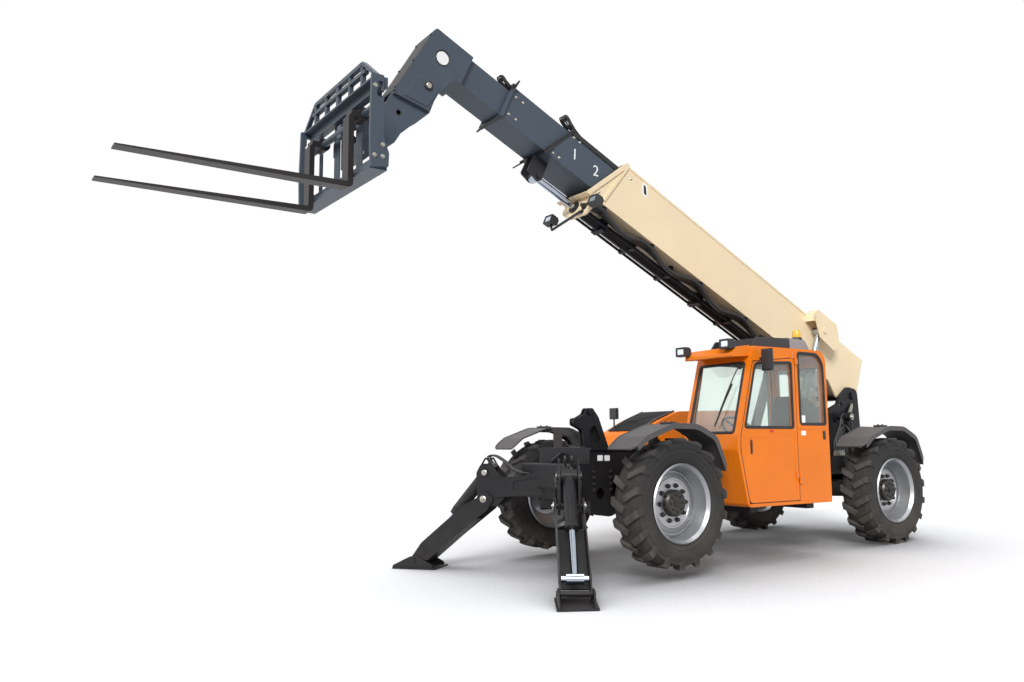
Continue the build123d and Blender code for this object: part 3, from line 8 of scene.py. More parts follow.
# %% Load the machine
import json
import math
import bmesh
import bpy
import numpy as np
from mathutils import Matrix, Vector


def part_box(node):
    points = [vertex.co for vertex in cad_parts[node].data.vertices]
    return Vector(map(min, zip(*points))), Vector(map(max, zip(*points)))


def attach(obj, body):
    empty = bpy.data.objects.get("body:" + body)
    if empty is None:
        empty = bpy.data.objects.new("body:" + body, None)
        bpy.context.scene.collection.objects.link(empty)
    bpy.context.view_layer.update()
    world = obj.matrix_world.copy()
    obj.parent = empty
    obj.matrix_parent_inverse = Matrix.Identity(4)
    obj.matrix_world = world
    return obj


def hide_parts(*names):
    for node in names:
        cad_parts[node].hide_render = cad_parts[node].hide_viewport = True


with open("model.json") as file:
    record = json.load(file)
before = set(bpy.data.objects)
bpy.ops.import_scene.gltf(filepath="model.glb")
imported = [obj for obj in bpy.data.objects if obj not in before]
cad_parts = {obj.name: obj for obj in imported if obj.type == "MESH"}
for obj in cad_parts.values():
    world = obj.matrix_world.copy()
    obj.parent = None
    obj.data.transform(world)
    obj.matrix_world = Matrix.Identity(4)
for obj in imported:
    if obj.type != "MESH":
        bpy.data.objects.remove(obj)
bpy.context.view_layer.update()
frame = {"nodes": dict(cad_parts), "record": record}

scene = bpy.context.scene

# %% [markdown]
# ## Where the numbers live
#
# The machine was drawn on a level chassis: x forwards from the rear axle, y to the left,
# z up from the ground.  Then the stabilizers lifted its nose.  It is easier to think on the
# level chassis, so one function carries its points to the standing machine, and others do
# the same from the boom's length and height and from a stabilizer leg's.

# %% Level chassis, boom and leg coordinates
NOSE_UP = math.radians(1.41)  # the stabilizers lift the nose by this
TYRE_RADIUS = 0.625
WHEELBASE = 3.6
WHEEL_Y = 1.0  # middle of a tyre
BOOM_ANGLE = math.radians(24.7)
PIVOT = (-0.524, 1.811)  # x and z of the boom's pivot
LEG_TURN = math.radians(55)  # a leg points this far out from ahead
LEG_PLACE = (4.6144, 0.6932, 0.626)  # the left leg's pivot
rear_tyre_low, rear_tyre_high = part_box("tyre_rear_left")
REAR_AXLE_X = (rear_tyre_low[0] + rear_tyre_high[0]) / 2


def stand(points):
    """Chassis points to standing ones: a turn by NOSE_UP about the rear wheels' axis."""
    p = np.asarray(points, float)
    x, z = p[..., 0], p[..., 2] - TYRE_RADIUS
    c, s = math.cos(NOSE_UP), math.sin(NOSE_UP)
    return np.stack([x * c - z * s + REAR_AXLE_X, p[..., 1], x * s + z * c + TYRE_RADIUS], -1)


def on_boom(points):
    """(length, y, height) on the boom to standing points: a turn by BOOM_ANGLE at the pivot."""
    p = np.asarray(points, float)
    c, s = math.cos(BOOM_ANGLE), math.sin(BOOM_ANGLE)
    return stand(np.stack([PIVOT[0] + p[..., 0] * c - p[..., 2] * s, p[..., 1],
                           PIVOT[1] + p[..., 0] * s + p[..., 2] * c], -1))


def on_leg(points, side=1):
    """(reach, across, height) from a leg's pivot to standing points: a turn by LEG_TURN."""
    p = np.asarray(points, float)
    c, s = math.cos(LEG_TURN), math.sin(LEG_TURN)
    return stand(np.stack([LEG_PLACE[0] + p[..., 0] * c - p[..., 1] * s,
                           side * (LEG_PLACE[1] + p[..., 0] * s + p[..., 1] * c),
                           LEG_PLACE[2] + p[..., 2]], -1))


def axes_at(turn):
    """Forward, left and up after a turn about the axis to the left."""
    c, s = math.cos(turn), math.sin(turn)
    return np.array([(c, 0, s), (0, 1, 0), (-s, 0, c)])


def unit(v):
    """A direction of length one."""
    v = np.asarray(v, float)
    return v / np.linalg.norm(v, axis=-1, keepdims=True)


def facing(right, above, ahead):
    """The turn of a camera or lamp that looks ahead."""
    return Matrix(np.stack([right, above, -ahead], 1).tolist()).to_4x4()


def put(name, data):
    """A new object in the scene."""
    made = bpy.data.objects.new(name, data)
    scene.collection.objects.link(made)
    return made


LEFT = np.array([0, 1.0, 0])
LEVEL = axes_at(NOSE_UP)
BOOM_AXES = axes_at(NOSE_UP + BOOM_ANGLE)
SIDES = (("left", 1), ("right", -1))
ENDS = (("front", WHEELBASE), ("rear", 0.0))

# %% [markdown]
# ## Camera
#
# The camera stands low beside the front left corner and looks back along the machine.
# Its matrix is built from the three viewing directions, with no order of turns to doubt.

# %% Camera
CAMERA_PLACE = (9.5551, 6.9558, 1.4387)  # from the rear axle
YAW, PITCH, ROLL = 4.1061, 0.1077, -0.0258
LENS = 29.53  # mm on a sensor 36 mm wide
ahead = np.array([math.cos(PITCH) * math.cos(YAW), math.cos(PITCH) * math.sin(YAW), math.sin(PITCH)])
right = np.array([math.sin(YAW), -math.cos(YAW), 0.0])
above = np.cross(right, ahead)
right, above = (right * math.cos(ROLL) + above * math.sin(ROLL),
                above * math.cos(ROLL) - right * math.sin(ROLL))
camera = put("camera", bpy.data.cameras.new("camera"))
camera.matrix_world = (Matrix.Translation((REAR_AXLE_X + CAMERA_PLACE[0], *CAMERA_PLACE[1:]))
                       @ facing(right, above, ahead))
camera.data.lens = LENS
camera.data.sensor_width = 36
camera.data.clip_end = 200
scene.camera = camera
scene.view_settings.view_transform = "Standard"

# %% [markdown]
# ## Floor, light and background
#
# Floor and background run into one white, with the machine's soft shadow as the only sign
# of the ground; that shadow is partly cast by the lamps and partly painted into the floor's
# colour.  Light Path tells a material which kind of ray asks, so the camera sees
# white and the machine is lit by the lamps and a dimmer sky.  Near the machine the floor
# shows the light that falls on it, darkened by that painted shadow: ambient occlusion turns
# its colour from light grey to near black beneath the machine.  Further out a white of its
# own takes over.

# %% Floor and background
FLOOR_REACH = 60.0
WHITE_FROM, WHITE_AT = 6.0, 14.0  # the floor's own white takes over between these
FLOOR_GLOW = 0.06
floor_mesh = bpy.data.meshes.new("floor")
corners = np.array([(-1, -1, 0), (1, -1, 0), (1, 1, 0), (-1, 1, 0)]) * FLOOR_REACH
floor_mesh.from_pydata(corners.tolist(), [], [(0, 1, 2, 3)])
floor = put("floor", floor_mesh)


class Nodes:
    """A new material or world with short calls to add and join its nodes."""

    def __init__(self, owner):
        self.owner = owner
        owner.use_nodes = True
        self.tree = owner.node_tree
        self.tree.nodes.clear()

    def add(self, kind, inputs=(), **settings):
        """A node of that kind; inputs are pairs of a socket and a value or a link's start."""
        node = self.tree.nodes.new(kind)
        for key, value in settings.items():
            setattr(node, key, value)
        for socket, value in inputs:
            if isinstance(value, bpy.types.NodeSocket):
                self.tree.links.new(value, node.inputs[socket])
            else:
                node.inputs[socket].default_value = value
        return node

    def maths(self, operation, *values):
        """One step of arithmetic on links and numbers."""
        return self.add("ShaderNodeMath", enumerate(values), operation=operation).outputs[0]

    def noise(self, place, scale, detail=2.0):
        """A cloud of values from 0 to 1."""
        return self.add("ShaderNodeTexNoise", [("Vector", place), ("Scale", scale),
                                               ("Detail", detail)]).outputs["Fac"]

    def blend(self, share, first, second):
        """The first colour, going over to the second as share goes from 0 to 1."""
        first, second = ((*c, 1) if isinstance(c, tuple) else c for c in (first, second))
        return self.add("ShaderNodeMix", [(0, share), (6, first), (7, second)],
                        data_type="RGBA").outputs[2]

    def show(self, shader, kind="Material"):
        """Join the last shader to the output."""
        self.add("ShaderNodeOutput" + kind, [(0, shader.outputs[0])])

    def seen(self):
        """1 for camera, mirror and glass rays, else 0."""
        path = self.add("ShaderNodeLightPath").outputs
        direct = self.maths("MAXIMUM", path["Is Camera Ray"], path["Is Glossy Ray"])
        return self.maths("MAXIMUM", direct, path["Is Transmission Ray"])


ground = Nodes(bpy.data.materials.new("studio_floor"))
place = ground.add("ShaderNodeTexCoord").outputs["Object"]
far = ground.add("ShaderNodeVectorMath", [(0, place)], operation="LENGTH").outputs["Value"]
fade = ground.add("ShaderNodeMapRange", [("Value", far), ("From Min", WHITE_FROM), ("From Max", WHITE_AT)],
                  interpolation_type="SMOOTHSTEP").outputs[0]
# Painted shadow: ambient occlusion darkens the floor's own colour beneath the machine.
painted_shadow_ao = ground.add("ShaderNodeAmbientOcclusion", [("Distance", 2.4)], samples=8).outputs["AO"]
shade = ground.blend(ground.maths("POWER", painted_shadow_ao, 1.5), (0.10, 0.10, 0.105), (0.80, 0.80, 0.81))
matt = ground.add("ShaderNodeBsdfDiffuse", [("Color", shade)])
glow = ground.add("ShaderNodeEmission", [("Color", (1, 1, 1, 1)),
                                         ("Strength", ground.maths("MULTIPLY", ground.seen(), FLOOR_GLOW))])
near = ground.add("ShaderNodeAddShader", [(0, matt.outputs[0]), (1, glow.outputs[0])])
white = ground.add("ShaderNodeEmission", [("Color", (1, 1, 1, 1)), ("Strength", ground.seen())])
mixed = ground.add("ShaderNodeMixShader", [(0, fade), (1, near.outputs[0]), (2, white.outputs[0])])
ground.show(mixed)
floor_mesh.materials.append(ground.owner)

sky = Nodes(bpy.data.worlds.new("studio"))
scene.world = sky.owner
soft = sky.add("ShaderNodeBackground", [("Color", (0.93, 0.96, 1.0, 1)), ("Strength", 0.42)])
white = sky.add("ShaderNodeBackground", [("Color", (1, 1, 1, 1)), ("Strength", 1.0)])
mixed = sky.add("ShaderNodeMixShader", [(0, sky.seen()), (1, soft.outputs[0]), (2, white.outputs[0])])
sky.show(mixed, "World")

# %% Lamps
for name, toward, width, power in (("key", (-0.66, -0.70, -0.66), 24, 3.0),
                                   ("fill", (-0.9, 0.45, -0.35), 50, 0.45),
                                   ("top", (0.1, 0.1, -1.0), 40, 1.1)):
    lamp = bpy.data.lights.new(name, "SUN")
    lamp.angle = math.radians(width)
    lamp.energy = power
    made = put(name, lamp)
    look = unit(toward)
    side = unit(np.cross(look, LEFT))
    made.matrix_world = facing(side, np.cross(side, look), look)

# %% [markdown]
# ## Paint and other finishes
#
# Sprayed steel is not one colour.  It drifts from panel to panel, dust settles low on the
# machine, and the gloss is uneven.  One recipe gives all of these: a slow noise moves the
# colour, a height mask with a second noise lays the dust, and a fine noise moves roughness
# and relief.  Where one solid has two finishes, a mask mixes the second colour in.

# %% Finish recipe
DUST = (0.30, 0.26, 0.21)


def coat(name, colour, rough, metal=0.0, drift=0.06, grain=40.0, bump=0.02, dust=0.0,
         dust_top=1.6, second=None, mask=None, gloss=0.0, specular=0.5):
    """Colour*(1 +- drift*noise), then dust*noise below dust_top, then second by mask."""
    kit = Nodes(bpy.data.materials.new(name))
    place = kit.add("ShaderNodeTexCoord").outputs["Object"]
    ramp = kit.add("ShaderNodeValToRGB", [(0, kit.noise(place, 2.5, 5.0))])
    for stop, at, way in zip(ramp.color_ramp.elements, (0.3, 0.75), (-1, 1)):
        stop.position = at
        stop.color = (*[min(1, c * (1 + way * drift)) for c in colour], 1)
    tint = ramp.outputs[0]
    if second:
        tint = kit.blend(mask(kit, place), tint, second)
    fine = kit.noise(place, grain, 3.0)
    shine = kit.add("ShaderNodeMapRange", [("Value", fine), ("To Min", max(0.03, rough - 0.08)),
                                           ("To Max", rough + 0.08)]).outputs[0]
    if dust:
        height = kit.add("ShaderNodeSeparateXYZ", [(0, place)]).outputs[2]
        low = kit.add("ShaderNodeMapRange", [("Value", height), ("From Min", 0.0), ("From Max", dust_top),
                                             ("To Min", dust), ("To Max", 0.0)]).outputs[0]
        lay = kit.maths("MULTIPLY", low, kit.noise(place, 6.0, 6.0))
        tint = kit.blend(lay, tint, DUST)
        shine = kit.maths("ADD", shine, kit.maths("MULTIPLY", lay, 0.4))
    relief = kit.add("ShaderNodeBump", [("Strength", bump), ("Distance", 0.002),
                                        ("Height", fine)])
    shade = kit.add("ShaderNodeBsdfPrincipled", [("Base Color", tint), ("Roughness", shine),
                                                 ("Normal", relief.outputs[0]), ("Metallic", metal),
                                                 ("Coat Weight", gloss), ("Coat Roughness", 0.12),
                                                 ("Specular IOR Level", specular)])
    kit.show(shade)
    return kit.owner


def from_axles(kit, place):
    """Distance from the nearer axle: sideways place is dropped before measuring."""
    flat = kit.add("ShaderNodeVectorMath", [(0, place), (1, (1, 0, 1))], operation="MULTIPLY").outputs[0]
    spans = []
    for _, x in reversed(ENDS):
        hub = stand((x, 0, TYRE_RADIUS))
        spans.append(kit.add("ShaderNodeVectorMath", [(0, flat), (1, (hub[0], 0, hub[2]))],
                             operation="DISTANCE").outputs["Value"])
    return kit.maths("MINIMUM", *spans)


def hub_mask(kit, place):
    """1 inside the hub's radius, else 0."""
    return kit.maths("LESS_THAN", from_axles(kit, place), 0.132)


def tread_mask(kit, place):
    """Rises from the sidewall to the lugs' worn tops, broken by noise."""
    rise = kit.add("ShaderNodeMapRange", [("Value", from_axles(kit, place)), ("From Min", 0.585),
                                          ("From Max", 0.626)]).outputs[0]
    return kit.maths("MULTIPLY", rise, kit.noise(place, 9.0, 6.0))


cab_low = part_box("cab_shell")[0]


def behind(kit, x, z, foot, head):
    """1 behind the line through two (x, z) places of the level chassis, else 0."""
    foot, head = stand((foot[0], 0, foot[1])), stand((head[0], 0, head[1]))
    lean = float((head[0] - foot[0]) / (head[2] - foot[2]))
    reach = kit.maths("SUBTRACT", x, kit.maths("MULTIPLY", z, lean))
    return kit.maths("LESS_THAN", reach, float(foot[0] - lean * foot[2]))


def inside_cab(kit, place):
    """1 between the inner faces of the cab's side walls and behind its front wall."""
    x, y, z = kit.add("ShaderNodeSeparateXYZ", [(0, place)]).outputs
    tests = [kit.maths("LESS_THAN", y, 1.1255), kit.maths("GREATER_THAN", y, 0.4745),
             kit.maths("GREATER_THAN", x, cab_low[0] + 0.0765),
             kit.maths("GREATER_THAN", z, cab_low[2] + 0.075),
             kit.maths("LESS_THAN", z, float(stand((2.0, 0, 2.19))[2])),
             behind(kit, x, z, (2.618, 0.545), (2.753, 1.130)),
             behind(kit, x, z, (2.743, 1.280), (2.513, 2.060))]
    inside = tests[0]
    for test in tests[1:]:
        inside = kit.maths("MULTIPLY", inside, test)
    return inside


RAKE = 0.528  # the sections' fronts lean back by this share of their height
boom_foot, boom_up = on_boom((0, 0, 0)), BOOM_AXES[2]
boom_ahead = BOOM_AXES[0] + RAKE * boom_up


def ahead_of(limit, low):
    """1 where length + RAKE*height on the boom passes limit, or where height is under low."""
    def mask(kit, place):
        reach = kit.add("ShaderNodeVectorMath", [(0, place), (1, boom_ahead)], operation="DOT_PRODUCT")
        height = kit.add("ShaderNodeVectorMath", [(0, place), (1, boom_up)], operation="DOT_PRODUCT")
        front = kit.maths("GREATER_THAN", reach.outputs["Value"], limit + float(boom_foot @ boom_ahead))
        under = kit.maths("LESS_THAN", height.outputs["Value"], low + float(boom_foot @ boom_up))
        return kit.maths("MAXIMUM", front, under)
    return mask


# %% The finishes
ORANGE, SLATE, NEAR_BLACK = (0.78, 0.183, 0.004), (0.060, 0.078, 0.102), (0.020, 0.020, 0.023)
orange = coat("cab_orange", ORANGE, 0.32, gloss=0.05, dust=0.05, specular=0.3)
shell_orange = coat("shell_orange", ORANGE, 0.32, gloss=0.05, dust=0.05, specular=0.3,
                    second=(0.035, 0.035, 0.038), mask=inside_cab)
cream = coat("boom_cream", (0.85, 0.69, 0.46), 0.42, drift=0.03, specular=0.35)
slate = coat("section_slate", SLATE, 0.42, specular=0.3)
section_2_paint = coat("section_2_slate", SLATE, 0.42, specular=0.3, second=NEAR_BLACK,
                       mask=ahead_of(5.598, 0.095))
section_3_paint = coat("section_3_slate", SLATE, 0.42, specular=0.3, second=NEAR_BLACK,
                       mask=ahead_of(6.408, 0.120))
black = coat("frame_black", (0.010, 0.010, 0.012), 0.45, dust=0.08, specular=0.22)
grey_plastic = coat("fender_plastic", (0.060, 0.056, 0.058), 0.55, bump=0.1, dust=0.10)
rubber = coat("tyre_rubber", (0.017, 0.017, 0.018), 0.75, bump=0.25, grain=60, dust=0.28, dust_top=1.3,
              specular=0.3, second=(0.10, 0.096, 0.09), mask=tread_mask)
hose_rubber = coat("hose_rubber", (0.018, 0.018, 0.019), 0.55, bump=0.2, grain=90)
silver = coat("rim_silver", (0.42, 0.43, 0.45), 0.32, metal=0.75, dust=0.35,
              second=(0.022, 0.022, 0.024), mask=hub_mask)
chrome = coat("rod_chrome", (0.42, 0.46, 0.54), 0.14, metal=1.0)
steel = coat("fork_steel", (0.030, 0.026, 0.027), 0.42, metal=0.3, bump=0.1, specular=0.3)
cast = coat("axle_cast", (0.014, 0.014, 0.015), 0.6, bump=0.3, dust=0.2, specular=0.25)
seat_cloth = coat("seat_cloth", (0.030, 0.030, 0.034), 0.85, bump=0.4, grain=260)
trim = coat("trim_plastic", (0.022, 0.022, 0.025), 0.5, bump=0.08)
gasket = coat("window_gasket", (0.012, 0.012, 0.013), 0.6, bump=0.08)
box_grey = coat("box_grey", (0.30, 0.31, 0.32), 0.5)
bright_steel = coat("bright_steel", (0.42, 0.40, 0.36), 0.30, metal=0.9)
chalk = coat("mark_white", (0.86, 0.86, 0.86), 0.5)
lens = coat("lamp_lens", (0.62, 0.68, 0.76), 0.10, metal=0.6, bump=0.4, grain=160)
amber = coat("beacon_amber", (0.95, 0.50, 0.02), 0.18, gloss=0.6)
red = coat("signal_red", (0.60, 0.035, 0.02), 0.3)
hood_black = coat("hood_black", (0.016, 0.016, 0.018), 0.4, gloss=0.3)

glazing = Nodes(bpy.data.materials.new("cab_pane"))
place = glazing.add("ShaderNodeTexCoord").outputs["Object"]
relief = glazing.add("ShaderNodeBump", [("Strength", 0.02), ("Height", glazing.noise(place, 3.0))])
shade = glazing.add("ShaderNodeBsdfPrincipled",
                    [("Base Color", (0.90, 0.975, 0.94, 1)), ("Roughness", 0.02), ("IOR", 1.45),
                     ("Transmission Weight", 0.94), ("Normal", relief.outputs[0])])
glazing.show(shade)
pane = glazing.owner

SLOT_PAINT = {"cab_paint": orange, "boom_paint": cream, "section_paint": slate,
              "frame_paint": black, "fender_plastic": grey_plastic, "tyre": rubber,
              "rim_paint": silver, "chrome": chrome, "cylinder_paint": black, "steel": steel,
              "glass": pane, "seat_fabric": seat_cloth, "trim_plastic": trim,
              "grey_plastic": box_grey, "cast": cast}
OWN_PAINT = {"cab_shell": shell_orange, "coupler": slate, "extend_barrel": black, "fork_carriage": slate,
             "boom_section_2": section_2_paint, "boom_section_3": section_3_paint}
for row in frame["record"]["subparts"]:
    body = frame["nodes"][row["node"]]
    body.data.materials.clear()
    body.data.materials.append(OWN_PAINT.get(row["node"], SLOT_PAINT[row["material_slot"]]))
print(len(frame["nodes"]), "solids painted")

# %% [markdown]
# ## Grids: every new surface is a function of two parameters
#
# A hose is a circle carried along a line, a bolt head is a profile turned about an axis,
# and a lens is a block gone soft.  Each can be written as a grid of points, and `piece`
# turns a list of such grids into one object: neighbours in the grid are the corners of a
# face, and points that coincide, at a seam or a pole, are merged.

# %% Grid to mesh
def piece(name, grids, finish, body="chassis"):
    """Faces join (row, column) neighbours of each grid; coincident points are merged."""
    points, corners, base = [], [], 0
    for grid in grids:
        rows, cols = grid.shape[:2]
        index = base + np.arange(rows * cols).reshape(rows, cols)
        corners.append(np.stack([index[:-1, :-1], index[:-1, 1:], index[1:, 1:], index[1:, :-1]], -1)
                       .reshape(-1, 4))
        points.append(grid.reshape(-1, 3))
        base += rows * cols
    mesh = bpy.data.meshes.new(name)
    mesh.from_pydata(np.concatenate(points).tolist(), [], np.concatenate(corners).tolist())
    work = bmesh.new()
    work.from_mesh(mesh)
    bmesh.ops.remove_doubles(work, verts=work.verts, dist=1e-5)
    bmesh.ops.recalc_face_normals(work, faces=work.faces)
    work.to_mesh(mesh)
    work.free()
    mesh.shade_smooth()
    mesh.set_sharp_from_angle(angle=math.radians(35))
    mesh.materials.append(finish)
    made = put(name, mesh)
    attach(made, body)
    print(name, len(mesh.polygons), "faces")
    return made


def capped(grid):
    """The grid with its first and last rows gathered into their own middles."""
    ends = [np.broadcast_to(row.mean(0), row.shape)[None] for row in (grid[0, :-1], grid[-1, :-1])]
    ends = [np.concatenate([e, e[:, :1]], 1) for e in ends]
    return np.concatenate([ends[0], grid, ends[1]])


def turned(profile, foot, way, sides=20):
    """foot + way*h + (u*cos a + v*sin a)*r, for the profile's (r, h) and a all the way round."""
    profile = np.asarray(profile, float)
    way = unit(way)
    u = unit(np.cross(way, (0.31, 0.17, 0.93)))
    v = np.cross(way, u)
    a = np.linspace(0, 2 * np.pi, sides + 1)
    ring = np.cos(a)[:, None] * u + np.sin(a)[:, None] * v
    ring[-1] = ring[0]
    return (np.asarray(foot, float) + profile[:, 1, None, None] * way
            + profile[:, 0, None, None] * ring[None])


def swept(path, profile, up, closed=False):
    """path + side*s + lift*t for the profile's (s, t); side is square to path and up."""
    path, profile = np.asarray(path, float), np.asarray(profile, float)
    if closed:
        way = unit(np.roll(path, -1, 0) - np.roll(path, 1, 0))
    else:
        way = unit(np.gradient(path, axis=0))
    side = unit(np.cross(way, up))
    lift = np.cross(side, way)
    profile = np.concatenate([profile, profile[:1]])
    grid = (path[:, None] + profile[None, :, 0, None] * side[:, None]
            + profile[None, :, 1, None] * lift[:, None])
    return np.concatenate([grid, grid[:1]]) if closed else capped(grid)


def circle(radius, sides=10):
    """Points of a circle, for a swept profile."""
    a = np.linspace(0, 2 * np.pi, sides, endpoint=False)
    return np.stack([np.cos(a), np.sin(a)], 1) * radius


def bend(points, steps=8):
    """A smooth line through points: each leaves along the chord of its neighbours."""
    p = np.asarray(points, float)
    p = np.vstack([2 * p[0] - p[1], p, 2 * p[-1] - p[-2]])
    t = np.linspace(0, 1, steps, endpoint=False)[None, :, None]
    a, b, c, d = (q[:, None] for q in (p[:-3], p[1:-2], p[2:-1], p[3:]))
    run = (2 * b + (c - a) * t + (2 * a - 5 * b + 4 * c - d) * t**2
           + (3 * b - a - 3 * c + d) * t**3) / 2
    return np.vstack([run.reshape(-1, 3), p[-2]])


def hose(points, radius, steps=8, sides=9):
    """A circle carried along the smooth line; up is the way the line spreads least."""
    path = bend(points, steps)
    spread = np.linalg.svd(path - path.mean(0), full_matrices=False)[2]
    return swept(path, circle(radius, sides), spread[-1])


def rounded(points, radii, steps=5):
    """Outline with each corner c replaced by the curve (1-t)^2 a + 2t(1-t) c + t^2 b."""
    c = np.asarray(points, float)
    r = np.broadcast_to(np.asarray(radii, float), len(c))[:, None]
    a = c + unit(np.roll(c, 1, 0) - c) * r
    b = c + unit(np.roll(c, -1, 0) - c) * r
    t = np.linspace(0, 1, steps)[None, :, None]
    curve = (1 - t)**2 * a[:, None] + 2 * t * (1 - t) * c[:, None] + t**2 * b[:, None]
    return curve.reshape(-1, c.shape[1])


def rectangle(middle, half):
    """Four corners from a middle and half the size."""
    return np.asarray(middle) + np.array([(-1, -1), (1, -1), (1, 1), (-1, 1)]) * half


def at_y(flat, y):
    """Points (x, y, z) from (x, z) ones."""
    flat = np.asarray(flat, float)
    return np.stack([flat[:, 0], np.full(len(flat), y), flat[:, 1]], -1)


def slab(outline, high, low=(0, 0, 0), bevel=0.0):
    """An outline of standing points moved by low and by high, its edges drawn in by bevel."""
    ring = np.asarray(outline, float)
    middle = ring.mean(0)
    inner = middle + (ring - middle) * (1 - bevel)
    low, high = np.asarray(low, float), np.asarray(high, float)
    edge = (high - low) * min(0.3, bevel * 4)
    grid = np.stack([inner + low, ring + low + edge, ring + high - edge, inner + high])
    return capped(np.concatenate([grid, grid[:, :1]], 1))


def pillow(middle, size, power=0.3, axes=np.eye(3), rows=12, cols=24):
    """(cos^p u cos^p v, cos^p u sin^p v, sin^p u) times half the size: a block gone soft."""
    u = np.linspace(-np.pi / 2, np.pi / 2, rows)[:, None]
    v = np.linspace(-np.pi, np.pi, cols + 1)[None]

    def soft(s):
        return np.sign(s) * np.abs(s)**power

    grid = np.stack([soft(np.cos(u)) * soft(np.cos(v)), soft(np.cos(u)) * soft(np.sin(v)),
                     soft(np.sin(u)) * np.ones_like(v)], -1)
    grid[0, :, :2] = grid[-1, :, :2] = 0
    grid[:, -1] = grid[:, 0]
    return np.asarray(middle, float) + (grid * np.asarray(size, float) / 2) @ np.asarray(axes, float)


def hex_bolt(foot, way, across, tall):
    """Washer, six-sided head with a chamfered top: two turned profiles."""
    r = across / 2
    washer = [(0, 0), (r * 1.35, 0), (r * 1.35, tall * 0.2), (0, tall * 0.2)]
    head = [(0, tall * 0.2), (r, tall * 0.2), (r, tall * 0.85), (r * 0.85, tall), (0, tall)]
    return [turned(washer, foot, way, 12), turned(head, foot, way, 6)]


def bolts(feet, way, across, tall):
    """A bolt at each place."""
    return [grid for foot in feet for grid in hex_bolt(foot, way, across, tall)]


def around(middle, radius, angles):
    """Places on a circle about the axis to the left."""
    return [middle + radius * np.array([math.cos(a), 0, math.sin(a)]) for a in angles]


def boss(foot, way, radius, shoulder, flat, top, under=0.0, sides=28):
    """A low round cap: its rim rises to shoulder, and its flat middle is at top."""
    return turned([(0, -under), (radius, -under), (radius, shoulder), (flat, top), (0, top)],
                  foot, way, sides)


def bead(ring, radius, up):
    """A thin round bead along a closed line."""
    return swept(ring, circle(radius, 8), up, closed=True)



# %% [markdown]
# ## Wheels
#
# Ten nuts hold each rim, and a ring of bolts closes the hub.  The tyre's sidewall and the
# rim carry fine rings that catch a thin line of light, each a low ridge turned about the axle.

# %% Wheel hardware
DISC_FACE, HUB_FACE = 0.020, 0.085  # how far these stand out from the tyre's middle
for end, x in ENDS:
    for hand, side in SIDES:
        hub, outward = stand((x, side * WHEEL_Y, TYRE_RADIUS)), side * LEFT
        where, wheel = f"{end}_{hand}", f"wheel_{end}_{hand}"
        cap_at = hub + HUB_FACE * outward
        nuts = around(hub + DISC_FACE * outward, 0.172, np.arange(10) * 2 * np.pi / 10)
        caps = around(cap_at, 0.078, np.arange(8) * 2 * np.pi / 8)
        cover = boss(cap_at, outward, 0.034, 0.008, 0.02, 0.014, sides=24)
        piece(f"wheel_nuts_{where}", [*bolts(nuts, outward, 0.036, 0.034),
                                      *bolts(caps, outward, 0.022, 0.012), cover], cast, wheel)
        rings = [turned([(r - 0.005, y - 0.003), (r - 0.003, y + 0.003), (r + 0.003, y + 0.003),
                         (r + 0.005, y - 0.003), (r, y - 0.006), (r - 0.005, y - 0.003)],
                        hub, outward, 72) for r, y in ((0.436, 0.1745), (0.478, 0.1815), (0.53, 0.1795))]
        piece(f"sidewall_rings_{where}", rings, rubber, wheel)
        y = DISC_FACE + 0.0005
        ridges = [turned([(r - w, y), (r - w * 0.6, y + 0.006), (r + w * 0.6, y + 0.006), (r + w, y),
                          (r, y - 0.004), (r - w, y)], hub, outward, 72)
                  for r, w in ((0.352, 0.010), (0.300, 0.005), (0.232, 0.012))]
        piece(f"rim_ridges_{where}", ridges, silver, wheel)
        valve = hub + np.array([0.29, 0, 0.02])
        piece(f"valve_{where}", [hose([valve - 0.03 * outward, valve, valve + 0.03 * outward,
                                       valve + 0.045 * outward + (0.01, 0, 0)], 0.006)], gasket, wheel)

# %% [markdown]
# ## Bolts and marks on the boom
#
# The nylon wear pads inside each tube are held by pairs of bolts that show as bright dots
# near the collars.  The second section carries the two range marks, plain numbers that the
# operator reads against the main tube.  The head's cheek holds a blank round plate.

# %% Wear pad bolts
PAD_BOLTS = {
    "boom_main": (0.245, [(4.567, 0.493), (4.462, 0.496), (4.789, 0.092), (4.685, 0.089)]),
    "section_2": (0.208, [(5.300, 0.468), (5.212, 0.468), (5.466, 0.145), (5.378, 0.145)]),
    "section_3": (0.176, [(6.085, 0.425), (5.990, 0.425), (6.085, 0.205), (5.990, 0.205)])}
for body, (half, places) in PAD_BOLTS.items():
    heads = [grid for _, side in SIDES
             for grid in bolts(on_boom(at_y(places, side * half)), side * LEFT, 0.024, 0.012)]
    piece(f"pad_bolts_{body}", heads, bright_steel, body)

# %% Range marks
MARK_SIZE, MARK_LEAN = 0.17, math.radians(21)
for mark, u, v in (("1", 5.216, 0.299), ("2", 4.899, 0.303)):
    curve = bpy.data.curves.new(f"mark_{mark}", "FONT")
    curve.body = mark
    curve.size = MARK_SIZE
    curve.extrude = 0.001
    curve.align_x = "CENTER"
    curve.align_y = "CENTER"
    letter = put(f"mark_{mark}", curve)
    flat = bpy.data.meshes.new_from_object(letter)
    bpy.data.objects.remove(letter)
    spots = np.array([spot.co for spot in flat.vertices])
    across = spots[:, 0] * math.cos(MARK_LEAN) - spots[:, 1] * math.sin(MARK_LEAN)
    tall = spots[:, 0] * math.sin(MARK_LEAN) + spots[:, 1] * math.cos(MARK_LEAN)
    spots = on_boom(np.stack([u - across, 0.2095 + spots[:, 2], v + tall], -1))
    flat.vertices.foreach_set("co", spots.ravel())
    flat.update()
    flat.materials.clear()
    flat.materials.append(chalk)
    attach(put(f"range_mark_{mark}", flat), "section_2")

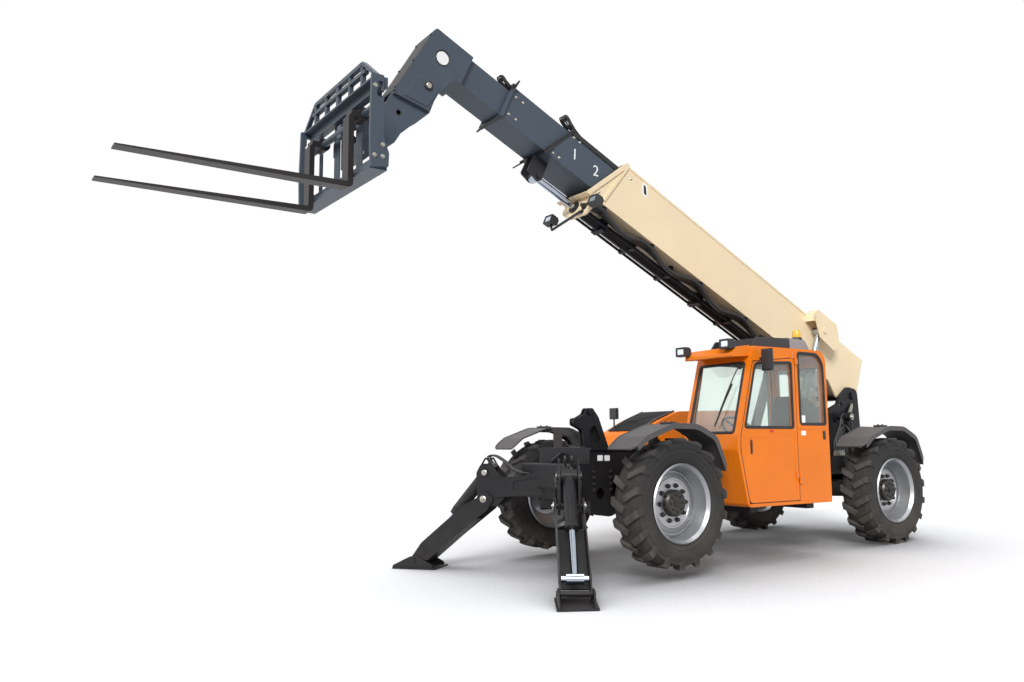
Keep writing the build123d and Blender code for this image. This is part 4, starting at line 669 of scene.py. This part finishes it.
# %% Head disc
for hand, side in SIDES:
    seat_at = on_boom((6.956, side * 0.178, 0.233))
    disc = [(0, 0.0005), (0.066, 0.0005), (0.068, 0.003), (0.066, 0.005), (0, 0.005)]
    piece(f"head_disc_{hand}", [turned(disc, seat_at, side * LEFT, 40)], chalk, "fly")
    rim = [(0.070, 0.0003), (0.081, 0.0003), (0.083, 0.009), (0.081, 0.010), (0.072, 0.002), (0.070, 0.0003)]
    piece(f"disc_seat_{hand}", [turned(rim, seat_at, side * LEFT, 40)], gasket, "fly")

# %% [markdown]
# ## Hoses and trim along the boom
#
# Oil for the cylinders runs in a bundle of hoses under the main section, clipped up at
# intervals and sagging between the clips.  The four share one list of points with small
# shifts.  A black strip runs along the second section, and short hoses roll over the guide
# at each collar.

# %% Boom hose bundle
BUNDLE = [(4.84, -0.120), (4.62, -0.045), (4.20, -0.085), (3.85, -0.045), (3.42, -0.100),
          (3.00, -0.045), (2.58, -0.105), (2.15, -0.045), (1.70, -0.100), (1.25, -0.045),
          (0.85, -0.110), (0.50, -0.150)]
hoses = []
for k, y in enumerate((0.132, 0.162, 0.192, 0.222)):
    sag = 0.014 * k
    hoses.append(hose(on_boom([(u + 0.03 * k, y, v - (sag if v < -0.08 else 0)) for u, v in BUNDLE]),
                      0.0205, 10, 10))
clips = [slab(on_boom([(u, 0.128, v + 0.045), (u, 0.240, v + 0.045), (u, 0.240, v - 0.022),
                       (u, 0.128, v - 0.022)]), 0.035 * BOOM_AXES[0]) for u, v in BUNDLE[1::2]]
piece("boom_hoses", hoses, hose_rubber, "boom_main")
piece("boom_hose_clips", clips, black, "boom_main")

# %% Hose strip and hoses over the guides
strip_line = on_boom([(u, 0.2145, 0.508) for u in np.linspace(4.33, 5.33, 12)])
piece("hose_strip", [swept(strip_line, [(-0.0055, -0.026), (0.0055, -0.026), (0.0055, 0.020),
                                        (0.002, 0.026), (-0.0055, 0.026)], BOOM_AXES[2])],
      gasket, "section_2")
for name, body, u, v, places in (("2", "section_2", 5.457, 0.620, (0.125, 0.155, 0.185)),
                                 ("3", "section_3", 6.270, 0.564, (0.062, 0.092))):
    loops = [hose(on_boom([(u - 0.24, y, v - 0.066), (u - 0.12, y, v - 0.030), (u, y, v + 0.031),
                           (u + 0.045, y, v - 0.004), (u + 0.01, y, v - 0.036), (u - 0.11, y, v - 0.064)]),
                  0.008, 7) for y in places]
    piece(f"guide_hoses_{name}", loops, hose_rubber, body)

# %% Slot mark, pins and weld lines
mark_line = [(4.165, 0.440), (4.250, 0.430), (4.262, 0.470), (4.300, 0.560), (4.225, 0.575), (4.170, 0.475)]
blade = on_boom(at_y(rounded(mark_line, 0.02, 4), 0.2455))
piece("slot_mark_edge", [slab(blade, 0.0012 * LEFT)], chalk, "boom_main")
core = blade.mean(0) + (blade - blade.mean(0)) * np.array([0.45, 1, 0.72])
piece("slot_mark", [slab(core, 0.0024 * LEFT, 0.0012 * LEFT)], gasket, "boom_main")
RAM_PIN, TILT_PIN = (6.968, -0.130), (7.200, -0.935)  # length and height on the boom
HEAD_WELD = [(-0.110, 0.005), (-0.075, 0.105), (0.015, 0.135), (0.105, 0.090), (0.135, -0.005),
             (0.165, -0.235), (-0.075, -0.190)]


def beside(pin, y):
    """The place of a boom pin at that y."""
    return on_boom((pin[0], y, pin[1]))


for hand, side in SIDES:
    outward = side * LEFT
    run = rounded(HEAD_WELD, [0.06, 0.06, 0.06, 0.06, 0.06, 0.01, 0.01], 6) + RAM_PIN
    piece(f"head_weld_{hand}", [bead(on_boom(at_y(run, side * 0.186)), 0.0065, outward)], slate, "fly")
    ram_pin = beside(RAM_PIN, side * 0.2012)
    collar = [(0.030, 0), (0.044, 0), (0.044, 0.007), (0.040, 0.010), (0.030, 0.010), (0.030, 0)]
    piece(f"ram_pin_ring_{hand}", [turned(collar, ram_pin, outward, 32)], gasket, "fly")
    piece(f"ram_pin_{hand}", [boss(ram_pin, outward, 0.028, 0.010, 0.024, 0.013, sides=32)],
          bright_steel, "fly")
    tilt_pin = beside(TILT_PIN, side * 0.189)
    piece(f"tilt_pin_keeper_{hand}",
          [boss(tilt_pin, outward, 0.046, 0.006, 0.040, 0.009, sides=32),
           *bolts(around(tilt_pin + 0.009 * outward, 0.030, (0.5, 2.6, 4.7)), outward, 0.016, 0.009)],
          bright_steel, "carriage")
    plug = [(0, 0), (0.020, 0), (0.022, 0.002), (0.028, 0.003), (0.030, 0), (0, 0)]
    piece(f"neck_hole_{hand}", [turned(plug, on_boom((7.100, side * 0.1483, -0.538)), outward, 24)],
          gasket, "fly")

# %% [markdown]
# ## Lamps, beacon and mirrors
#
# A work lamp gets a ribbed back, a rim and a clear lens, a block gone soft at its corners.
# The beacon is a turned profile: a black foot with an amber dome.

# %% Work lamps
LAMPS = [("cab_left", (2.800, 1.085, 2.221), stand, LEVEL, "chassis"),
         ("cab_right", (2.845, 0.505, 2.184), stand, LEVEL, "chassis"),
         ("boom_near", (4.885, 0.402, -0.140), on_boom, BOOM_AXES, "boom_main"),
         ("boom_far", (4.940, -0.240, -0.262), on_boom, BOOM_AXES, "boom_main")]
for name, middle, placed, axes, body in LAMPS:
    at = placed(middle)
    face = at + 0.0445 * axes[0]
    piece(f"lamp_lens_{name}", [pillow(face, (0.012, 0.090, 0.060), 0.22, axes)], lens, body)
    fins = [pillow(at - 0.052 * axes[0] + y * axes[1], (0.012, 0.006, 0.056), 0.3, axes, 8, 12)
            for y in np.linspace(-0.048, 0.048, 7)]
    piece(f"lamp_fins_{name}", fins, trim, body)
    rim = rounded(rectangle((0, 0), (0.062, 0.047)), 0.01, 4)
    path = at + 0.0530 * axes[0] + rim[:, :1] * axes[1] + rim[:, 1:] * axes[2]
    piece(f"lamp_rim_{name}", [bead(path, 0.0032, axes[0])], trim, body)

# %% Beacon and mirrors
foot = stand((1.40, 0.90, 2.3715))
piece("beacon_foot", [turned([(0, 0), (0.062, 0), (0.062, 0.012), (0.052, 0.030), (0, 0.030)], foot,
                             LEVEL[2], 32)], trim)
piece("beacon_dome", [turned([(0, 0.030), (0.047, 0.030), (0.049, 0.040), (0.046, 0.095), (0.036, 0.115),
                              (0.016, 0.124), (0, 0.125)], foot, LEVEL[2], 32)], amber)
for name, x, y, z, tall, wide, body in (("door", 2.3850, 1.265, 2.065, 0.206, 0.106, "door"),
                                        ("hood", 2.5100, -1.020, 1.570, 0.118, 0.116, "chassis")):
    silvered = stand((x - 0.0015, y, z))
    piece(f"mirror_glass_{name}", [pillow(silvered, (0.004, wide, tall), 0.16, LEVEL)], chrome, body)
    rim = rounded(rectangle((0, 0), (wide / 2 + 0.007, tall / 2 + 0.007)), 0.02, 5)
    path = silvered + rim[:, :1] * LEVEL[1] + rim[:, 1:] * LEVEL[2]
    piece(f"mirror_rim_{name}", [bead(path, 0.0045, LEVEL[0])], trim, body)
    back = pillow(stand((x + 0.0255, y, z)), (0.022, wide + 0.010, tall + 0.010), 0.28, LEVEL)
    piece(f"mirror_back_{name}", [back], trim, body)

# %% [markdown]
# ## Window gaskets, door fittings and wiper
#
# A pane is held by a rubber section that runs round its opening.  That is one short
# profile carried round the opening's rounded outline and closed on itself.

# %% Gaskets
GASKET = [(-0.015, -0.006), (0.015, -0.006), (0.015, 0.004), (0.009, 0.008), (-0.009, 0.008), (-0.015, 0.004)]
CAB_FACE = 1.170  # outer face of the cab's left wall and door
CAB_MIDDLE = 0.80


def wall_ring(points, radii, y):
    """A rounded (x, z) outline at that y on the level chassis, as standing points."""
    return stand(at_y(rounded(points, radii, 7), y))


def on_windscreen(y, z, out=0.0):
    """A point this far out from the windscreen's sloping outer face."""
    y, z, out = np.broadcast_arrays(*(np.asarray(v, float) for v in (y, z, out)))
    return stand(np.stack([2.790 - (z - 1.280) * 0.2949 + out * 0.959, y, z + out * 0.283], -1))


DOOR_WINDOW = [(1.890, 1.360), (2.675, 1.360), (2.480, 2.035), (1.890, 2.065)]
SIDE_WINDOW = [(1.320, 1.400), (1.765, 1.400), (1.765, 2.180), (1.420, 2.180), (1.330, 2.080)]
RIGHT_WINDOW = [(1.370, 1.250), (2.690, 1.250), (2.490, 2.080), (1.370, 2.080)]
screen_out = on_windscreen(0, 1.5, 1.0) - on_windscreen(0, 1.5)
screen = rounded(rectangle((CAB_MIDDLE, 1.670), (0.308, 0.366)), 0.03, 6)
rear = rounded(rectangle((CAB_MIDDLE, 1.700), (0.285, 0.350)), 0.03, 6)
rear = np.stack([np.full(len(rear), 1.270), rear[:, 0], rear[:, 1]], -1)
for name, ring, out, body in (
        ("door_window", wall_ring(DOOR_WINDOW, [0.03, 0.03, 0.06, 0.03], CAB_FACE), LEFT, "door"),
        ("side_window", wall_ring(SIDE_WINDOW, [0.03, 0.03, 0.03, 0.06, 0.06], CAB_FACE), LEFT, "chassis"),
        ("right_window", wall_ring(RIGHT_WINDOW, 0.06, 0.430), -LEFT, "chassis"),
        ("windscreen", on_windscreen(*screen.T), screen_out, "chassis"),
        ("rear_window", stand(rear), -LEVEL[0], "chassis")):
    piece(f"{name}_gasket", [swept(ring, GASKET, out, closed=True)], gasket, body)


# %% Door seam, handle, hinges and latches
def blank_plates(name, places, corner, y):
    """Thin blank plates on a wall at y, from each one's middle and half its size."""
    plates = [slab(wall_ring(rectangle(middle, half), corner, y), 0.0015 * LEFT) for middle, half in places]
    piece(name, plates, chalk)


DOOR_LINE = [(1.830, 0.585), (2.640, 0.585), (2.752, 1.130), (2.742, 1.275), (2.520, 2.050), (1.830, 2.120)]
piece("door_seal", [bead(wall_ring(DOOR_LINE, [0.03, 0.05, 0.06, 0.04, 0.06, 0.03], 1.1672), 0.0045, LEFT)],
      gasket, "door")
pocket = wall_ring(rectangle((2.580, 1.1575), (0.018, 0.0655)), 0.008, 1.1485)
piece("handle_dish", [slab(pocket, 0.003 * LEFT)], gasket, "door")
grip = stand([(2.580, 1.160, 1.082), (2.580, 1.163, 1.11), (2.580, 1.164, 1.16), (2.580, 1.163, 1.21),
              (2.580, 1.160, 1.233)])
piece("door_handle", [hose(grip, 0.0105, 6, 12)], trim, "door")
for name, body, x, low in (("cab", "chassis", 1.787, 0.0), ("door", "door", 1.866, 0.061)):
    leaf = [stand((x, 1.177, z + low + up)) for z in (0.760, 2.050) for up in (0.015, 0.045)]
    piece(f"hinge_bolts_{name}", bolts(leaf, LEFT, 0.014, 0.008), bright_steel, body)
for name, place, size, finish, body in (
        ("panel_latch", (1.36, 1.174, 1.28), (0.040, 0.014, 0.095), trim, "chassis"),
        ("door_latch", (2.26, 1.174, 1.322), (0.055, 0.014, 0.024), red, "door"),
        ("tail_lamp", (1.263, 1.10, 0.635), (0.022, 0.060, 0.085), red, "chassis")):
    piece(name, [pillow(stand(place), size, 0.25, LEVEL)], finish, body)
blank_plates("cab_blank_plates", [((1.712, 1.455), (0.030, 0.040)), ((1.722, 1.302), (0.040, 0.024))],
             0.005, CAB_FACE + 0.0005)

# %% Wiper
arm_line = on_windscreen([1.057, 1.02, 0.95, 0.897], [1.985, 1.88, 1.66, 1.492],
                         [0.030, 0.036, 0.036, 0.030])
piece("wiper_arm", [hose(arm_line, 0.006)], trim)
pivot = [(0, -0.004), (0.018, -0.004), (0.018, 0.028), (0.012, 0.040), (0, 0.040)]
piece("wiper_pivot", [turned(pivot, on_windscreen(1.057, 1.985), screen_out, 20)], trim)
blade_line = on_windscreen(np.linspace(1.000, 0.855, 12), np.linspace(1.812, 1.364, 12),
                           0.016 + 0.006 * np.sin(np.linspace(0, np.pi, 12)))
piece("wiper_blade", [swept(blade_line, [(-0.007, -0.004), (0.007, -0.004), (0.005, 0.008), (-0.005, 0.008)],
                            screen_out)], gasket)

# %% [markdown]
# ## Seat
#
# The seat's cushions are foam under cloth.  Each starts as a soft block, is remeshed into
# even small faces, and is then blown up by the cloth solver, so it rounds between its edges
# as a filled cover does.  A cap keeps any point from moving too far.

# %% Seat cushions
VOXEL, PRESSURE, FRAMES = 0.011, 4, 20


def blown(made, cap):
    """Cloth under pressure, each point's move held to cap; then one subdivision."""
    bpy.context.view_layer.objects.active = made
    made.select_set(True)
    remesh = made.modifiers.new("even_faces", "REMESH")
    remesh.mode = "VOXEL"
    remesh.voxel_size = VOXEL
    bpy.ops.object.modifier_apply(modifier="even_faces")
    before = np.empty(len(made.data.vertices) * 3)
    made.data.vertices.foreach_get("co", before)
    cloth = made.modifiers.new("cloth", "CLOTH")
    cloth.settings.use_pressure = True
    cloth.settings.uniform_pressure_force = PRESSURE
    cloth.settings.effector_weights.gravity = 0
    for frame_at in range(1, FRAMES + 1):
        scene.frame_set(frame_at)
    shaped = made.evaluated_get(bpy.context.evaluated_depsgraph_get()).to_mesh()
    after = np.empty(len(before))
    shaped.vertices.foreach_get("co", after)
    made.modifiers.clear()
    move = (after - before).reshape(-1, 3)
    far = np.linalg.norm(move, axis=1, keepdims=True)
    move = move * np.minimum(1, cap / np.maximum(far, 1e-9))
    made.data.vertices.foreach_set("co", before + move.ravel())
    made.data.update()
    scene.frame_set(1)
    smooth = made.modifiers.new("smooth", "SUBSURF")
    smooth.levels = smooth.render_levels = 1
    bpy.ops.object.modifier_apply(modifier="smooth")
    made.data.shade_smooth()
    made.select_set(False)
    print(made.name, "moved by at most", round(float(np.minimum(far, cap).max()), 4))


# name, middle (x, z), size, softness, lean in degrees, cap of a move, ends of the piping, its half width
for name, (x, z), size, power, lean, cap, ends, half in (
        ("cushion", (1.755, 1.066), (0.480, 0.460, 0.085), 0.30, 2.0, 0.010,
         [(1.522, 1.092), (1.985, 1.108)], 0.225),
        ("backrest", (1.510, 1.440), (0.100, 0.420, 0.600), 0.35, 10.5, 0.012,
         [(1.590, 1.165), (1.482, 1.720)], 0.205)):
    foam = pillow(stand((x, CAB_MIDDLE, z)), size, power, axes_at(NOSE_UP + math.radians(lean)), 16, 40)
    made = piece(f"seat_{name}", [foam], seat_cloth)
    blown(made, cap)
    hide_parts("seat")
    ring = [*at_y(ends, CAB_MIDDLE - half), *at_y(ends[::-1], CAB_MIDDLE + half)]
    path = rounded(stand(ring), 0.06, 7)
    normal = unit(np.cross(path[5] - path[0], path[14] - path[0]))
    piece(f"seat_piping_{name}", [bead(path, 0.005, normal)], trim)
FOLDS = [(0, -0.012), (0.150, -0.012), (0.150, 0.02), (0.115, 0.04), (0.125, 0.08), (0.105, 0.11),
         (0.125, 0.15), (0.105, 0.19), (0.125, 0.23), (0.105, 0.27), (0.125, 0.31), (0.110, 0.35),
         (0.170, 0.38), (0.170, 0.418), (0, 0.418)]
bellows = piece("seat_bellows", [turned(FOLDS, stand((1.73, CAB_MIDDLE, 0.605)), LEVEL[2], 48)], trim)
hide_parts("seat")
armrests = [pillow(stand((1.72, CAB_MIDDLE + side * 0.262, 1.235)), (0.300, 0.055, 0.045), 0.35, LEVEL)
            for _, side in SIDES]
posts = [hose(stand([(1.53, CAB_MIDDLE + side * 0.232, 1.18), (1.545, CAB_MIDDLE + side * 0.250, 1.20),
                     (1.60, CAB_MIDDLE + side * 0.262, 1.225)]), 0.012) for _, side in SIDES]
piece("seat_armrests", armrests, trim)
piece("armrest_posts", posts, trim)

# %% [markdown]
# ## Hood, nose and tower
#
# The hood's top is a black grille of slats, repeated along its sloping line.  Hoses climb
# the tower to the boom's pivot in a loose fan, each ending in a bright fitting.

# %% Hood grille and latches
HOOD_TOP = np.array([(2.572, 1.347), (2.310, 1.470), (1.990, 1.586)])
SLAT = [(-0.013, -0.010), (0.013, -0.004), (0.013, 0.004), (-0.013, -0.002)]
run = np.concatenate([[0], np.cumsum(np.linalg.norm(np.diff(HOOD_TOP, axis=0), axis=1))])
slats = []
for at in np.linspace(0.02, 0.98, 19) * run[-1]:
    x, z = np.interp(at, run, HOOD_TOP[:, 0]), np.interp(at, run, HOOD_TOP[:, 1])
    ends = stand([(x, -1.065, z + 0.012), (x, -0.515, z + 0.012)])
    slats.append(swept(np.linspace(*ends, 4), SLAT, LEVEL[2]))
piece("hood_slats", slats, hood_black)
rails = [hose(stand([(x, y, z + 0.012) for x, z in HOOD_TOP]), 0.011, 8, 8) for y in (-1.068, -0.512)]
piece("hood_rails", rails, hood_black)
screens = [slab(stand([(x0, -1.065, z0 + 0.0015), (x0, -0.515, z0 + 0.0015), (x1, -0.515, z1 + 0.0015),
                       (x1, -1.065, z1 + 0.0015)]), 0.002 * LEVEL[2])
           for (x0, z0), (x1, z1) in zip(HOOD_TOP[:-1], HOOD_TOP[1:])]
piece("hood_screen", screens, gasket)
latches = [pillow(stand((x, -1.155, z)), (0.030, 0.014, 0.080), 0.25, LEVEL)
           for x, z in ((1.10, 1.05), (1.80, 1.05), (2.55, 1.02))]
piece("hood_latches", latches, trim)

# %% Nose plates and bolts
FRAME_FACE = 0.420  # outer face of the frame's side plates
blank_plates("nose_blank_plates", [((3.993, 1.056), (0.035, 0.028)), ((3.900, 1.054), (0.035, 0.028))],
             0.006, FRAME_FACE + 0.0005)
feet = [stand((x, FRAME_FACE + 0.0002, z)) for x in (3.86, 4.08) for z in (0.74, 0.80, 0.86, 0.92)]
piece("nose_bolts", bolts(feet, LEFT, 0.030, 0.018), cast)

# %% Tower hoses and axle lock fittings
for hand, side in SIDES:
    runs, fittings = [], []
    for k in range(6):
        x, y = -0.40 + 0.062 * k, side * (0.318 + 0.017 * k)
        top = (-0.475 + 0.018 * k, side * (0.316 + 0.004 * k), 1.700 - 0.020 * k)
        runs.append(hose(stand([(x + 0.16, y, 1.045), (x + 0.15, y, 1.20), (x + 0.06, y + side * 0.02, 1.38),
                                (x - 0.03, y + side * 0.01, 1.55), (top[0], top[1], top[2] - 0.05), top]),
                         0.0125, 8))
        foot = [(0, -0.02), (0.019, -0.02), (0.019, 0.022), (0.013, 0.026), (0.013, 0.052), (0, 0.052)]
        cap = [(0, -0.05), (0.017, -0.05), (0.017, 0.006), (0, 0.012)]
        fittings += [turned(foot, stand((x + 0.16, y, 1.047)), LEVEL[2], 6),
                     turned(cap, stand(top), LEVEL[2], 6)]
    piece(f"tower_hoses_{hand}", runs, hose_rubber)
    piece(f"tower_fittings_{hand}", fittings, bright_steel)
    lock = stand([(-0.160, side * 0.520, 1.215), (-0.130, side * 0.560, 1.23), (-0.075, side * 0.545, 1.33),
                  (-0.070, side * 0.47, 1.42), (-0.12, side * 0.36, 1.40)])
    piece(f"lock_hose_{hand}", [hose(lock, 0.010)], hose_rubber)
    pin, outward = stand((-0.160, side * 0.520, 1.523)), side * LEFT
    piece(f"lock_pin_{hand}", [boss(pin, outward, 0.040, 0.006, 0.034, 0.010, 0.004),
                                    *hex_bolt(pin + 0.010 * outward, outward, 0.026, 0.014)],
          bright_steel)

# %% [markdown]
# ## Stabilizers, fenders and carriage
#
# Each stabilizer's cylinder is fed by two hoses that loop beside its ears, and bright
# keepers hold the pins.  The fenders' edges are rolled into a stiffening bead.

# %% Stabilizer hoses and pins
LOOP = [(-0.48, 0.265), (-0.33, 0.290), (-0.18, 0.400), (-0.08, 0.452), (-0.010, 0.440), (-0.035, 0.390),
        (-0.078, 0.352)]  # reach and height; the last is where the hose is screwed in
FITTING = [(0, -0.02), (0.016, -0.02), (0.016, 0.02), (0, 0.026)]
LOOP_ACROSS = (-0.030, 0.034)
for hand, side in SIDES:
    loops = [hose(on_leg(at_y(LOOP, across), side), 0.0105, 9) for across in LOOP_ACROSS]
    piece(f"stabilizer_hoses_{hand}", loops, hose_rubber)
    leg_pins, ram_pins = [], []
    for face in (1, -1):
        way = unit(on_leg((0, face, 0), side) - on_leg((0, 0, 0), side))
        spot = on_leg((0, face * 0.1475, 0), side)
        leg_pins += [boss(spot, way, 0.036, 0.004, 0.030, 0.008, 0.004),
                     *hex_bolt(spot + 0.008 * way, way, 0.022, 0.010)]
        ram_pins.append(boss(on_leg((0, face * 0.1172, 0.275), side), way, 0.030, 0.002, 0.026, 0.004, 0.002))
    piece(f"leg_pins_{hand}", leg_pins, bright_steel, f"stabilizer_leg_{hand}")
    piece(f"ram_pins_{hand}", ram_pins, bright_steel)
    fittings = [turned(FITTING, foot, LEVEL[2], 6) for foot in on_leg(
        [(LOOP[-1][0], across, LOOP[-1][1]) for across in LOOP_ACROSS], side)]
    piece(f"stabilizer_fittings_{hand}", fittings, bright_steel)

# %% Fender beads
FENDER = [(0.640, 0.520), (0.480, 0.640), (0.120, 0.760), (-0.220, 0.755), (-0.480, 0.640), (-0.640, 0.300)]


def fender_edge(count=120):
    """The rounded plan outline resampled evenly, its height read from the fender's arc."""
    plan = rounded([(-0.634, 0.806), (-0.634, 1.184), (0.634, 1.184), (0.634, 0.806)],
                   [0.02, 0.06, 0.10, 0.04], 8)
    plan = np.vstack([plan, plan[:1]])
    run = np.concatenate([[0], np.cumsum(np.linalg.norm(np.diff(plan, axis=0), axis=1))])
    even = np.linspace(0, run[-1], count, endpoint=False)
    x, y = np.interp(even, run, plan[:, 0]), np.interp(even, run, plan[:, 1])
    arc = rounded(FENDER, [0, 0.015, 0.051, 0.061, 0.060, 0], 8)[::-1]
    return np.stack([x, y, np.interp(x, arc[:, 0], arc[:, 1])], 1)


FENDER_CAP = (0.02, 1.02)  # x from the axle and y
for end, x in ENDS:
    for hand, side in SIDES:
        knuckle = f"steering_{end}_{hand}"
        edge = fender_edge() * (1, side, 1) + (x, 0, TYRE_RADIUS)
        piece(f"fender_bead_{end}_{hand}", [bead(stand(edge), 0.0085, LEVEL[2])], grey_plastic, knuckle)
        x_cap, y_cap = x + FENDER_CAP[0], side * FENDER_CAP[1]
        feet = [stand((x_cap + dx, y_cap, TYRE_RADIUS + 0.779)) for dx in (-0.045, 0.045)]
        piece(f"fender_cap_{end}_{hand}",
              [pillow(stand((x_cap, y_cap, TYRE_RADIUS + 0.770)), (0.150, 0.110, 0.022), 0.25, LEVEL),
               *bolts(feet, LEVEL[2], 0.022, 0.012)], trim, knuckle)

# %% Carriage bolts
for hand, side in SIDES:
    for name, y, places, across in (
            ("carriage", 0.825, ((0.225, -0.40), (0.225, -0.30), (0.300, 0.20), (0.300, -0.40)), 0.030),
            ("coupler", 0.177, ((0.140, 0.215), (0.140, 0.020), (0.120, -0.150)), 0.028)):
        feet = [beside(TILT_PIN, side * y) + dx * LEVEL[0] + dz * LEVEL[2] for dx, dz in places]
        piece(f"{name}_bolts_{hand}", bolts(feet, side * LEFT, across, 0.016), bright_steel, "carriage")

# %% Head cover
cover = on_boom([(7.1435, -0.172, 0.435), (7.1435, 0.172, 0.435), (7.2315, 0.172, -0.372),
                 (7.2315, -0.172, -0.372)])
away = unit(np.cross(cover[1] - cover[0], cover[2] - cover[1]))
away = away * np.sign(away @ BOOM_AXES[0])
feet = [on_boom((7.1445 + 0.0895 * share, y, 0.435 - 0.82 * share)) + 0.004 * away
        for share in (0.06, 0.5, 0.94) for y in (-0.150, 0.150)]
piece("head_cover", [slab(cover, 0.005 * away, bevel=0.01), *bolts(feet, away, 0.022, 0.010)], gasket, "fly")
